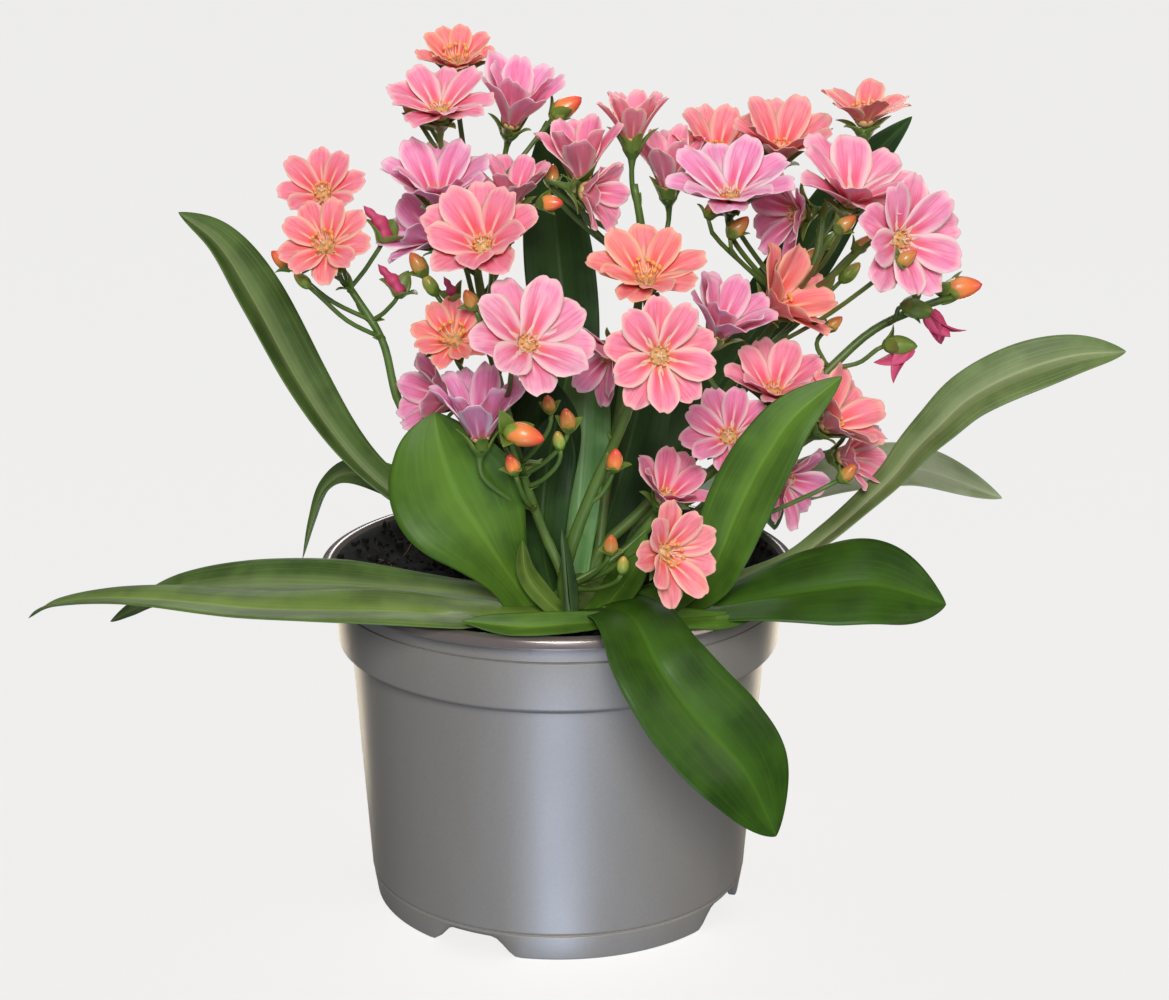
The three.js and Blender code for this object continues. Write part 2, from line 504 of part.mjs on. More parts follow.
// The blooms: where each stands, how it faces, its petals' length and how wide they open
const bloomRows = [
  ['upper_left', [-25.5, 110.5, 6], 0, 61, 9, 50, 9, 'orange'],
  ['upper_left', [-29.5, 98.5, -18], -2, 67, 12, 63, 9, 'pink'],
  ['upper_left', [-12, 96, -4], 32, 68, 16, 30, 9, 'pink'],
  ['upper_left', [-30, 77, -22], -4, 68, 14, 46, 9, 'pink'],
  ['upper_left', [-30, 67.5, -10], -63, 40, 11, 44, 8, 'pink'],
  ['upper_left', [-18.5, 65.5, -44], -14, 44, 14, 52, 10, 'pink'],
  ['upper_left', [-11.5, 76.5, -14], 13, 79, 9.5, 32, 7, 'pink'],
  ['middle_left', [-26, 42, -38], -6, 45, 8.5, 60, 9, 'orange'],
  ['middle_left', [-8.5, 41, -58], 24, 40, 14.5, 64, 9, 'pink'],
  ['middle_left', [-19.5, 17.5, -44], -11, 84, 15.5, 26, 9, 'pink'],
  ['middle_left', [-26, 28, -24], -67, 14, 12, 40, 8, 'pink'],
  ['left', [-58.5, 78.5, -4], -5, 51, 9.5, 59, 8, 'pink'],
  ['left', [-57.5, 65.5, -20], -11, 38, 10, 66, 9, 'orange'],
  ['top', [18.5, 92, -8], 1, 87, 11, 28, 9, 'pink'],
  ['top', [6, 82.5, -14], -19, 78, 14, 28, 8, 'pink'],
  ['top', [5.5, 80.5, -26], 61, -6, 8.5, 46, 8, 'pink'],
  ['top', [27.5, 80, 4], -5, 80, 14, 26, 9, 'pink'],
  ['right', [40, 90.5, 16], 7, 71, 9, 41, 8, 'orange'],
  ['right', [55, 89.5, 4], 9, 76, 11.5, 36, 9, 'orange'],
  ['right', [43, 77, -24], -7, 67, 13.5, 64, 9, 'pink'],
  ['right', [61.5, 75, -10], -65, 1, 10.5, 57, 8, 'pink'],
  ['right', [72.5, 76.5, -28], 28, 66, 16, 56, 9, 'pink'],
  ['right', [76.5, 96.5, -2], 3, 84, 11, 56, 7, 'orange'],
  ['right', [84, 68, -40], 33, 12, 13.5, 66, 10, 'pink'],
  ['middle', [22, 56.5, -46], -2, 60, 12.5, 59, 9, 'orange'],
  ['middle', [24.5, 39, -64], 16, 14, 11.5, 75, 10, 'pink'],
  ['far_right', [39.5, 43.5, -34], 42, 62, 13, 36, 9, 'pink'],
  ['far_right', [52, 50.5, -18], 64, 36, 14.5, 45, 8, 'orange'],
  ['far_right', [53.5, 28.5, -28], 10, 62, 12.5, 50, 9, 'pink'],
  ['far_right', [43, 18, -33], -16, 42, 10.5, 60, 9, 'pink'],
  ['middle', [26, 2.5, -32], 40, 58, 11, 41, 8, 'pink'],
  ['middle', [25.5, -10, -64], 38, 11, 11, 60, 9, 'orange'],
  ['far_right', [66, 21, -28], 62, 42, 13, 47, 8, 'orange'],
  ['middle', [14, 40.5, -20], -47, -21, 8.5, 42, 8, 'pink'],
  ['far_right', [70, 14, -16], 55, 12, 10, 40, 7, 'pink'],
  ['far_right', [55, 9, -22], 52, -17, 10.5, 59, 8, 'pink'],
];
const blooms = bloomRows.map(([scape, place, turn, tilt, petal, open, petals, tint], i) => ({
  number: i + 1, scape, place, turn, tilt, petal, open, petals, tint,
}));

// The scapes: each one's line from the crown, and its buds as place and size
const scapes = [
  { name: 'left', thick: 1.4,
    line: [[1, -20, -18], [-16, -6, -20], [-32, 14, -16], [-40, 28, -14], [-44, 43, -12], [-52, 56, -10]],
    buds: [[-69, 63, -14, 0.9], [-64, 58, -18, 0.7], [-44.5, 70, -12, 1.1], [-42, 58, -16, 1]] },
  { name: 'upper_left', thick: 1.6,
    line: [[1, -20, -18], [-7, 3, -18], [-14, 28, -20], [-19, 53, -20], [-22, 73, -16], [-22, 88, -12]],
    buds: [[2, 101, -4, 1.2, [1, 0, 0.7]], [-37, 101, -14, 0.8], [-33, 98, -10, 0.6], [-35, 62, -30, 0.9],
      [-2, 77, -26, 0.9, [0.9, -0.4, 0.2]], [-32, 57, -30, 0.7], [-27, 56, -34, 0.8]] },
  { name: 'middle_left', thick: 1.4,
    line: [[2, -26, -34], [1.5, -17, -36], [-4, -4, -34], [-9, 10, -36], [-12, 22, -38], [-15, 34, -38]],
    buds: [[-8.5, 19, -54, 1.3, [1, -0.3, -0.1]], [2, 23, -46, 0.9], [-2.5, 27, -48, 0.6], [0, 18, -44, 0.6],
      [-11.5, 12, -46, 0.8], [-22, 53, -42, 0.8]] },
  { name: 'middle', thick: 1.8,
    line: [[2, -26, -34], [1.5, -17, -36], [3.5, -8, -40], [8, 4, -42], [16, 22, -42], [21, 38, -40], [22, 50, -36]],
    buds: [[13, -8, -54, 0.9], [14, 13, -46, 0.9], [16, -13, -56, 0.6]] },
  { name: 'top', thick: 1.4,
    line: [[8, -21, -18], [10, -10, -16], [12, 6, -12], [16, 30, -8], [20, 52, -8], [21, 68, -8], [19, 82, -8]],
    buds: [[-1, 84, -8, 0.8]] },
  { name: 'right', thick: 1.6,
    line: [[8, -21, -18], [10, -10, -16], [24, 4, -14], [42, 30, -12], [56, 50, -12], [64, 62, -12], [66, 74, -10]],
    buds: [[40, 76, -28, 0.9], [45.5, 71, -26, 0.9], [72, 72, -40, 0.8], [87, 63.5, -46, 0.8], [60, 56, -24, 0.7],
      [72, 60, -20, 0.8]] },
  { name: 'far_right', thick: 1.5,
    line: [[10, -22, -26], [22, -4, -28], [38, 10, -28], [54, 22, -26], [66, 34, -24], [78, 45, -22], [90, 51, -20],
      [99, 54, -19]],
    buds: [[101, 56, -18, 1.3, [1, 0, 0.2]], [90, 50.5, -26, 1.1, [1, -0.2, -0.2]], [85.5, 41.5, -26, 1.1, [1, 0, 0]],
      [69, 47, -26, 0.7], [72, 10, -42, 0.8]] },
];

// The stalks: scapes that grow from one foot share a piece
const stalks = [['left', 'upper_left'], ['middle', 'middle_left'], ['right', 'top'], ['far_right']].map(
  (names) => ({ name: names[0], scapes: names.map((name) => scapes.find((scape) => scape.name === name)) }));

const group = new THREE.Group();

function addPiece(name, solid, material) {
  const mesh = new THREE.Mesh(geometryOf(solid), material);
  mesh.name = name;
  group.add(mesh);
}

// Each piece is cut clear of the pieces before it that it would touch, and a loose scrap is dropped
const earlier = [];

function boxesMeet(a, b) {
  return [0, 1, 2].every((i) => a.min[i] < b.max[i] && b.min[i] < a.max[i]);
}

function place(name, make, material) {
  let solid = make(0);
  const box = solid.boundingBox();
  const near = earlier.filter((other) => boxesMeet(box, other.box));
  if (near.length > 0) {
    const pieces = solid.subtract(join(near.map((other) => other.solid))).decompose();
    [solid] = pieces.sort((a, b) => b.volume() - a.volume());
  }
  const grown = make(GAP);
  earlier.push({ solid: grown, box: grown.boundingBox() });
  addPiece(name, solid, material);
}

const rim = turned([
  [COLLAR_FOOT_RADIUS - WALL - GAP, COLLAR_FOOT], [COLLAR_FOOT_RADIUS + 1, COLLAR_FOOT],
  [LIP_RADIUS + GAP, LIP_UNDER - GAP], [LIP_RADIUS + GAP, LIP_TOP + GAP],
  [COLLAR_RADIUS - WALL - GAP, LIP_TOP + GAP], [COLLAR_FOOT_RADIUS - WALL - GAP, COLLAR_FOOT]],
POT_SIDES, new THREE.Vector3(), UP);
const ground = turned([
  [0, WALL_TOP], [WALL_TOP_RADIUS - WALL, WALL_TOP], [COLLAR_RADIUS - WALL - 1, SOIL_TOP + 1.6],
  [0, SOIL_TOP + 1.6]], SOIL_SIDES, new THREE.Vector3(), UP);
earlier.push({ solid: rim, box: rim.boundingBox() });
addPiece('pot', makePot(), silverPlastic);
addPiece('potting_soil', makeSoil(makeCrown(GAP)), peat);
place('crown', makeCrown, bark);
for (const stalk of stalks) {
  place(`stalk_${stalk.name}`, (extra) => makeStalk(stalk, extra), stalkGreen);
}
earlier.push({ solid: ground, box: ground.boundingBox() });
for (const leaf of leaves) {
  place(leaf.name, (extra) => makeLeaf(leaf, extra), leafGreen);
}
for (const bloom of blooms) {
  const name = `bloom_${String(bloom.number).padStart(2, '0')}`;
  place(name, (extra) => makeBloom(bloom, extra), bloom.tint === 'orange' ? petalOrange : petalPink);
}

export default group;
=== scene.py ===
"""A lewisia in flower in a silver nursery pot. Lengths are in millimetres until a mesh is made, in metres."""
import bmesh
import bpy
import numpy as np
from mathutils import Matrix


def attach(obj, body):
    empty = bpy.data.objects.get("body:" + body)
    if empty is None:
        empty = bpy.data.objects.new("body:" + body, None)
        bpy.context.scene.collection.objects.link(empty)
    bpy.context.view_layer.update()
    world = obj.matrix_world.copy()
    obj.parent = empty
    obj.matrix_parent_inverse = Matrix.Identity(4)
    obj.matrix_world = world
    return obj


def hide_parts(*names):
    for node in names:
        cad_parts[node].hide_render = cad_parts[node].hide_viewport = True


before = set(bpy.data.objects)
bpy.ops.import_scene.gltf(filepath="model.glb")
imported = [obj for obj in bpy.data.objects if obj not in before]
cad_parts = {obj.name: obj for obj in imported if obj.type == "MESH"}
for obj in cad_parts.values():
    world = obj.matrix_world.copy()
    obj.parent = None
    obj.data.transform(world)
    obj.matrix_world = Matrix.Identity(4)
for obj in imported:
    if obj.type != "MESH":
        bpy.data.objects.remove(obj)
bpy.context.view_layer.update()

# The camera. It stands in front of the plant and a little above it, and has the pot's axis left of the
# middle. Places on the plant are given as they appear from it, so it comes first.
MM = 0.001
VIEW_DISTANCE = 650
VIEW_RISE = np.radians(17.05)
VIEW_HEIGHT = 100
SENSOR = 36
PICTURE_WIDTH = 1169
FOCAL_PIXELS = 2600
AXIS_LEFT_PIXELS = 26.3
TARGET_LOW_PIXELS = 12.3

camera = bpy.data.objects.new("camera", bpy.data.cameras.new("camera"))
bpy.context.scene.collection.objects.link(camera)
camera.data.sensor_width = SENSOR
camera.data.lens = SENSOR * FOCAL_PIXELS / PICTURE_WIDTH
camera.data.shift_x = AXIS_LEFT_PIXELS / PICTURE_WIDTH
camera.data.shift_y = TARGET_LOW_PIXELS / PICTURE_WIDTH
camera.location = (
    0,
    -VIEW_DISTANCE * np.cos(VIEW_RISE) * MM,
    (VIEW_HEIGHT + VIEW_DISTANCE * np.sin(VIEW_RISE)) * MM,
)
camera.rotation_euler = (np.pi / 2 - VIEW_RISE, 0, 0)
bpy.context.scene.camera = camera
bpy.context.scene.view_settings.view_transform = "Standard"


def seen(places):
    """The places that appear at (across, up) on the upright plane through the pot's axis and lie at a depth
    behind it: each one runs along its sight line from the camera until it is that deep."""
    across, up, depth = np.moveaxis(np.asarray(places, float), -1, 0)
    cos, sin = np.cos(VIEW_RISE), np.sin(VIEW_RISE)
    slope = up / VIEW_DISTANCE
    z = (up + depth * (slope * cos - sin)) / (cos + slope * sin)
    x = across / VIEW_DISTANCE * (VIEW_DISTANCE + depth * cos - z * sin)
    return np.stack([x, depth, z + VIEW_HEIGHT], -1)


# The studio. The plant stands on a wide pale floor, under soft lights in front, overhead, behind and on each
# side. Those below the floor are what it throws up: they shine through it, bluish in front and behind, and
# warm at each side. The floor has an even light of its own, without shadows.
FLOOR_HALF = 9000
LIGHTS = (
    # name, place, size, power in watts and colour
    ("front_light", (10, -1150, 760), 480, 14.5, "#ffffff"),
    ("top_light", (60, 60, 1300), 800, 2.6, "#ffffff"),
    ("back_light", (-60, 1150, 800), 700, 6.5, "#ffffff"),
    ("left_light", (-1200, -300, 600), 700, 1.5, "#ffffff"),
    ("right_light", (1200, -400, 400), 700, 4.2, "#fff6ea"),
    ("left_rim_light", (-300, 560, -120), 260, 0.6, "#fff0d8"),
    ("right_rim_light", (300, 560, -120), 260, 0.6, "#fff0d8"),
    ("floor_light", (0, -450, -170), 240, 0.42, "#d0deff"),
    ("foot_light", (0, -300, -190), 120, 0.22, "#c0d8ff"),
    ("rear_floor_light", (0, 450, -170), 240, 0.4, "#c8daff"),
)
FLOOR_SUN = 2.75
WORLD_STRENGTH = 0.12


def linear(code):
    """The linear colour of an sRGB hex code: c / 12.92 up to 0.04045, else ((c + 0.055) / 1.055)^2.4."""
    c = np.array([int(code[i:i + 2], 16) for i in (1, 3, 5)]) / 255
    c = np.where(c <= 0.04045, c / 12.92, ((c + 0.055) / 1.055) ** 2.4)
    return (*map(float, c), 1.0)


def feed(node, inputs):
    """Gives a node's sockets their values: numbers, colours as hex codes, or the outputs that feed them."""
    for key, value in inputs.items():
        if isinstance(value, bpy.types.NodeSocket):
            node.id_data.links.new(value, node.inputs[key])
        else:
            node.inputs[key].default_value = linear(value) if isinstance(value, str) else value


def material_of(name, sockets):
    """A new material with one Principled shader that has the given values on its own sockets."""
    material = bpy.data.materials.new(name)
    material.use_nodes = True
    shader = material.node_tree.nodes["Principled BSDF"]
    feed(shader, sockets)
    return material, material.node_tree, shader


def grid_faces(rows, cols, closed=False):
    """The quads of a grid of points given row by row. A closed one joins its last column to its first."""
    k = np.arange(rows * cols).reshape(rows, cols)
    if closed:
        k = np.concatenate([k, k[:, :1]], 1)
    return np.stack([k[:-1, :-1], k[:-1, 1:], k[1:, 1:], k[1:, :-1]], -1).reshape(-1, 4)


def grid_corners(u, v):
    """The map of a grid's quads, one (u, v) for each corner, from the columns' u and the rows' v."""
    place = np.stack(np.meshgrid(u, v), -1)
    corners = [place[:-1, :-1], place[:-1, 1:], place[1:, 1:], place[1:, :-1]]
    return np.stack(corners, 2).reshape(-1, 4, 2)


def made_of(name, parts, materials):
    """A smooth mesh object at the origin from parts, each of points, faces, their map, the points' marks and
    the number of its material. Points that coincide, as at a pole, are merged."""
    starts = np.cumsum([0] + [len(part[0]) for part in parts])
    points = np.concatenate([part[0] for part in parts]) * MM
    faces = np.concatenate([part[1] + start for part, start in zip(parts, starts)])
    mesh = bpy.data.meshes.new(name)
    mesh.from_pydata(points.tolist(), [], faces.tolist())
    corners = np.concatenate([part[2] for part in parts]).astype(np.float32)
    mesh.uv_layers.new(name="UVMap").data.foreach_set("uv", corners.ravel())
    for key in sorted({key for part in parts for key in part[3]}):
        values = [np.broadcast_to(part[3].get(key, 0.0), len(part[0])) for part in parts]
        layer = mesh.attributes.new(key, "FLOAT", "POINT")
        layer.data.foreach_set("value", np.concatenate(values).astype(np.float32))
    finish = np.concatenate([np.full(len(part[1]), part[4]) for part in parts])
    mesh.polygons.foreach_set("material_index", finish)
    for material in materials:
        mesh.materials.append(material)
    work = bmesh.new()
    work.from_mesh(mesh)
    bmesh.ops.remove_doubles(work, verts=work.verts, dist=1e-6)
    work.to_mesh(mesh)
    work.free()
    mesh.shade_smooth()
    made = bpy.data.objects.new(name, mesh)
    bpy.context.scene.collection.objects.link(made)
    return made


# White paint: matt, so that it gives the eye nothing but an even pale field.
paint, _, _ = material_of("matt_white_paint", {"Base Color": "#f2f1f0", "Roughness": 0.9})
side = np.array([-FLOOR_HALF, FLOOR_HALF])
floor_grid = np.stack(np.broadcast_arrays(side, side[:, None], 0.0), -1).reshape(-1, 3)
floor = made_of("floor", [(floor_grid, grid_faces(2, 2), grid_corners([0, 1], [0, 1]), {}, 0)], [paint])
floor.visible_diffuse = False
floor.visible_glossy = False

lit = {}
for name, state in (("plant", "EXCLUDE"), ("floor", "INCLUDE")):
    lit[name] = bpy.data.collections.new(f"{name}_lit")
    lit[name].objects.link(floor)
    lit[name].collection_objects[0].light_linking.link_state = state


def lamp(name, kind, power, lights):
    """A new light that reaches only what it is for, and that only the same things keep off."""
    made = bpy.data.objects.new(name, bpy.data.lights.new(name, kind))
    bpy.context.scene.collection.objects.link(made)
    made.light_linking.receiver_collection = lit[lights]
    made.light_linking.blocker_collection = lit[lights]
    made.visible_camera = False
    made.data.energy = power
    return made


lamp("floor_sun", "SUN", FLOOR_SUN, "floor")
for name, place, size, power, code in LIGHTS:
    light = lamp(name, "AREA", power, "plant")
    light.data.shape = "DISK"
    light.data.size = size * MM
    light.data.color = linear(code)[:3]
    light.location = np.array(place) * MM
    aim = np.array([0, 0, VIEW_HEIGHT]) - place
    light.rotation_euler = (np.arctan2(np.hypot(aim[0], aim[1]), -aim[2]), 0, np.arctan2(-aim[0], aim[1]))
world = bpy.data.worlds.new("studio")
bpy.context.scene.world = world
world.use_nodes = True
feed(world.node_tree.nodes["Background"], {"Color": "#fbfcff", "Strength": WORLD_STRENGTH})

# The pot. One moulding of polypropylene with silver pigment: a rolled lip, a collar with a fine parting line,
# a tapering wall, a groove and four feet with notches between them. Four drain holes go through its floor.
POT_PROFILE = (
    # radius, height and fillet: out along the underside, up the wall, over the lip and down inside
    (0, 6.6, 0), (44.1, 6.6, 0.8), (44.9, 0, 0.5), (46.8, 0, 0.5), (47.9, 6.5, 0.15), (47.4, 6.7, 0.1),
    (48.1, 7.5, 0.3), (52.2, 66.8, 0.5), (55.4, 68.3, 0.7), (56.15, 80.3, 0.03), (55.7, 80.35, 0.05),
    (56.3, 80.95, 0.05), (56.4, 85.0, 0.5), (59.7, 85.0, 0.3), (60.1, 85.4, 0.3), (59.5, 87.4, 0.5),
    (57.4, 87.9, 0.7), (54.8, 85.0, 0.5), (53.8, 69.6, 0.7), (50.6, 66.4, 0.7), (46.5, 8.2, 0.8), (0, 8.2, 0),
)
POT_SIDES = 192
FILLET_POINTS = 5
FEET = 4
FOOT_TURN = 18
FOOT_RADIUS = 46.8
FOOT_INNER_RADIUS = 44
FOOT_TOP = 6
NOTCH_HALF_WIDTH = 12.1
NOTCH_TOP_HALF_WIDTH = 5.4
NOTCH_HEIGHT = 5
DRAIN_RADIUS = 4
DRAIN_PLACE = 36
DRAIN_SIDES = 24
DRAIN_BOTTOM = 4
DRAIN_TOP = 10
SCUFF_FROM = 80.5
SCUFF_FULL = 85.5
POLISH_SHADE_FROM = 84.8
POLISH_SHADE_FULL = 85.6
POLISH_GLOSS = 0.25
FLAKE = 0.03
GRAIN_SCALE = 1500.0
CLOUD_SCALE = 60.0
SCUFF_SCALE = 260.0
NOISE_LOW = 0.3
NOISE_HIGH = 0.7
SMOOTH = {"interpolation_type": "SMOOTHSTEP"}
COLOUR = {"data_type": "RGBA"}


def add(tree, kind, settings, inputs, output=0):
    """Adds a shader node of a kind, with settings for its own properties and inputs for its sockets, and
    gives one of its outputs."""
    node = tree.nodes.new("ShaderNode" + kind)
    for key, value in settings.items():
        setattr(node, key, value)
    feed(node, inputs)
    return node.outputs[output]


def smooth_step(x, low, high):
    """0 up to low, 1 from high, and 3 t^2 - 2 t^3 between them."""
    t = np.clip((x - low) / (high - low), 0, 1)
    return t * t * (3 - 2 * t)


def filleted(corners):
    """A profile with rounded corners: each is the curve a (1 - t)^2 + 2 b t (1 - t) + c t^2, where b is the
    corner and a and c lie a fillet away from it along its two sides."""
    p = np.array([corner[:2] for corner in corners], float)
    fillet = np.array([corner[2] for corner in corners[1:-1]])[:, None]
    back = p[:-2] - p[1:-1]
    ahead = p[2:] - p[1:-1]
    a = (p[1:-1] + back / np.linalg.norm(back, axis=1, keepdims=True) * fillet)[:, None]
    c = (p[1:-1] + ahead / np.linalg.norm(ahead, axis=1, keepdims=True) * fillet)[:, None]
    t = np.linspace(0, 1, FILLET_POINTS)[None, :, None]
    curve = a * (1 - t) ** 2 + 2 * p[1:-1, None] * t * (1 - t) + c * t ** 2
    return np.concatenate([p[:1], curve.reshape(-1, 2), p[-1:]])


def revolved(profile, sides):
    """The grid (r cos a, r sin a, z) of a profile carried round the axis, a row for each of its points."""
    a = np.linspace(0, 2 * np.pi, sides, endpoint=False)
    r, z = np.asarray(profile, float).T[:, :, None]
    return np.stack(np.broadcast_arrays(r * np.cos(a), r * np.sin(a), z), -1)


def turned(grid, finish=0, **marks):
    """A part from a grid of points that goes round an axis and closes on it at both ends."""
    rows, sides = grid.shape[:2]
    corners = grid_corners(np.linspace(0, 1, sides + 1), np.linspace(0, 1, rows))
    return grid.reshape(-1, 3), grid_faces(rows, sides, closed=True), corners, marks, finish


wall = revolved(filleted(POT_PROFILE), POT_SIDES)
angle = np.degrees(np.arctan2(wall[..., 1], wall[..., 0]))
from_notch = np.abs((angle - FOOT_TURN + 90) % (360 / FEET) - 180 / FEET)
notch, notch_top = np.degrees(np.arcsin(np.array([NOTCH_HALF_WIDTH, NOTCH_TOP_HALF_WIDTH]) / FOOT_RADIUS))
lift = NOTCH_HEIGHT * smooth_step(-from_notch, -notch, -notch_top)
in_foot = (wall[..., 2] < FOOT_TOP) & (np.hypot(wall[..., 0], wall[..., 1]) > FOOT_INNER_RADIUS)
wall[..., 2] = np.where(in_foot, lift + wall[..., 2] * (1 - lift / FOOT_TOP), wall[..., 2])

# Moulded polypropylene with aluminium flake: a satin silver skin, clouded every 17 mm, with scuffs 4 mm wide
# just under the lip. The lip is polished, and its tint is darkened with painted shade. Its grain of 0.1 mm is
# drawn 0.7 mm wide, so that it shows.
silver, tree, shader = material_of("moulded_polypropylene_silver", {
    "Metallic": 0.45, "Coat Weight": 0.15, "Coat Roughness": 0.25, "IOR": 1.49})
place = add(tree, "TexCoord", {}, {}, "Object")
height = add(tree, "SeparateXYZ", {}, {0: place}, "Z")
grain = add(tree, "TexNoise", {}, {"Vector": place, "Scale": GRAIN_SCALE, "Detail": 3.0})
cloud = add(tree, "TexNoise", {}, {
    "Vector": add(tree, "Mapping", {}, {0: place, "Scale": (1.0, 1.0, 0.25)}),
    "Scale": CLOUD_SCALE, "Detail": 4.0})
scuff = add(tree, "TexNoise", {}, {"Vector": place, "Scale": SCUFF_SCALE, "Detail": 5.0, "Roughness": 0.7})
under_lip = add(tree, "MapRange", SMOOTH, {0: height, 1: SCUFF_FROM * MM, 2: SCUFF_FULL * MM})
polished_shaded_lip = add(tree, "MapRange", SMOOTH, {0: height, 1: POLISH_SHADE_FROM * MM, 2: POLISH_SHADE_FULL * MM})
worn = add(tree, "MapRange", SMOOTH, {0: scuff, 1: 0.56, 2: 0.72})
worn = add(tree, "Math", {"operation": "MULTIPLY"}, {0: worn, 1: under_lip})
tint = add(tree, "Mix", COLOUR, {0: cloud, 6: "#9e968a", 7: "#a19f9c"}, 2)
# The lip's darker tint is painted shade; only its lower roughness is real polish.
tint = add(tree, "Mix", COLOUR, {0: polished_shaded_lip, 6: tint, 7: "#807672"}, 2)
tint = add(tree, "Mix", COLOUR, {0: worn, 6: tint, 7: "#80707a"}, 2)
flake = add(tree, "MapRange", {}, {0: grain, 1: NOISE_LOW, 2: NOISE_HIGH, 3: 1 - FLAKE, 4: 1 + FLAKE})
tint = add(tree, "VectorMath", {"operation": "SCALE"}, {0: tint, "Scale": flake})
satin = add(tree, "MapRange", {}, {0: cloud, 1: NOISE_LOW, 2: NOISE_HIGH, 3: 0.4, 4: 0.5})
satin = add(tree, "Math", {"operation": "MULTIPLY_ADD"}, {0: polished_shaded_lip, 1: -POLISH_GLOSS, 2: satin})
relief = add(tree, "Bump", {}, {"Height": grain, "Strength": 0.05, "Distance": 0.0002})
feed(shader, {"Base Color": tint, "Roughness": satin, "Normal": relief})

pot = made_of("nursery_pot", [turned(wall)], [silver])
drain_profile = [(0, DRAIN_BOTTOM), (DRAIN_RADIUS, DRAIN_BOTTOM), (DRAIN_RADIUS, DRAIN_TOP), (0, DRAIN_TOP)]
drains = []
for k in range(FEET):
    turn = np.radians(FOOT_TURN + 360 / FEET * (k - 0.5))
    middle = DRAIN_PLACE * np.array([np.cos(turn), np.sin(turn), 0])
    drains.append(turned(revolved(drain_profile, DRAIN_SIDES) + middle))
drain = made_of("drain_cutter", drains, [silver])
cut = pot.modifiers.new("drain_holes", "BOOLEAN")
cut.object = drain
cut.solver = "EXACT"
bpy.context.view_layer.update()
holed = bpy.data.meshes.new_from_object(pot.evaluated_get(bpy.context.evaluated_depsgraph_get()))
pot.modifiers.clear()
pot.data = holed
bpy.data.objects.remove(drain)
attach(pot, "root")
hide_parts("pot")

# The potting soil. Moist black peat, filled to 5 mm under the lip and banked up against it: a plug that fits
# the pot, with clods on top, and loose crumbs and bark fibres lying on it.
SOIL_PROFILE = ((0, 8.5), (46.1, 8.5), (50.2, 66.5), (53.4, 69.8), (54.3, 84.8), (56.3, 86.9))
SOIL_TOP = 83
SOIL_EDGE = 56.3
SOIL_BANK = 3.8
SOIL_BANK_WIDTH = 10
SOIL_EVEN_WIDTH = 4
SOIL_RINGS = 60
SOIL_SIDES = 160
CLODS = (
    # height, and the sine's and the cosine's changes across and back and their starts
    (0.5, (0.61, 0, 1.3), (0, 0.53, -0.7)),
    (0.35, (1.7, -1.3, 0), (0.9, 1.1, 0)),
    (0.2, (3.9, 1.1, 0), (-1.7, 3.3, 0)),
)
CRUMBS = 1500
CRUMB_ROWS = 5
CRUMB_SIDES = 6
CRUMB_SIZE = (0.35, 1.0)
CRUMB_STRETCH = (0.6, 1.3)
CRUMB_LUMP = 0.25
CRUMB_LIFT = 0.15
FIBRES = 45
FIBRE_REACH = 46
FIBRE_STEP = 4
FIBRE_BOW = 1.5
FIBRE_RADIUS = (0.12, 0.3)
FIBRE_LIFT = 0.3
FIBRE_RINGS = 7
FIBRE_SIDES = 5
PEAT, BARK = range(2)
AIM_STEP = 0.2


def clods(x, y):
    """The height of the soil's top: the sum of crossed waves 10, 3 and 1.5 mm long, each a sine across a
    cosine. It is even at the pot's wall, where it rises in a bank."""
    reach = np.hypot(x, y)
    height = sum(high * np.sin(a * x + b * y + c) * np.cos(d * x + e * y + f)
                 for high, (a, b, c), (d, e, f) in CLODS)
    bank = SOIL_BANK * smooth_step(reach, SOIL_EDGE - SOIL_BANK_WIDTH, SOIL_EDGE)
    return SOIL_TOP + bank + height * np.clip((SOIL_EDGE - reach) / SOIL_EVEN_WIDTH, 0, 1)


def curve_through(points, samples=30):
    """A smooth curve through points: from p1 to p2 it is the cubic whose slopes there are (p2 - p0) / 2 and
    (p3 - p1) / 2. The first and the last point are carried on straight for theirs."""
    p = np.asarray(points, float)
    p = np.concatenate([2 * p[:1] - p[1:2], p, 2 * p[-1:] - p[-2:-1]])
    p0, p1, p2, p3 = (p[i:len(p) - 3 + i, None] for i in range(4))
    t = np.linspace(0, 1, samples, endpoint=False)[None, :, None]
    curve = (2 * t ** 3 - 3 * t ** 2 + 1) * p1 + (t ** 3 - 2 * t ** 2 + t) * (p2 - p0) / 2
    curve = curve + (3 * t ** 2 - 2 * t ** 3) * p2 + (t ** 3 - t ** 2) * (p3 - p1) / 2
    return np.concatenate([curve.reshape(-1, 3), p[-2:-1]])


def unit(vectors):
    """The vectors divided by their lengths."""
    vectors = np.asarray(vectors, float)
    return vectors / np.linalg.norm(vectors, axis=-1, keepdims=True)


def at(curve, shares):
    """The places on a curve at shares of its length, and the directions there, from places just before
    and after."""
    run = np.concatenate([[0], np.cumsum(np.linalg.norm(np.diff(curve, axis=0), axis=1))])
    shares = np.asarray(shares, float)
    ends = [np.clip(shares * run[-1] + step, 0, run[-1]) for step in (0, -AIM_STEP, AIM_STEP)]
    places, before, after = (np.stack([np.interp(e, run, curve[:, i]) for i in range(3)], -1) for e in ends)
    return places, unit(after - before)


def rod(curve, shares, radii, sides, finish=0, **marks):
    """A round rod along a curve: its ring at each share is centre + radius (p cos a + q sin a), where p and
    q are square to the curve. p leans to where the curve goes least, and both ends close in poles."""
    centres, ways = at(curve, np.concatenate([[shares[0]], shares, [shares[-1]]]))
    radii = np.concatenate([[0], radii, [0]])[:, None, None]
    least = np.linalg.svd(ways)[2][-1]
    p = unit(least - (ways @ least)[:, None] * ways)[:, None]
    q = np.cross(ways[:, None], p)
    a = np.linspace(0, 2 * np.pi, sides, endpoint=False)[None, :, None]
    return turned(centres[:, None] + radii * (p * np.cos(a) + q * np.sin(a)), finish, **marks)


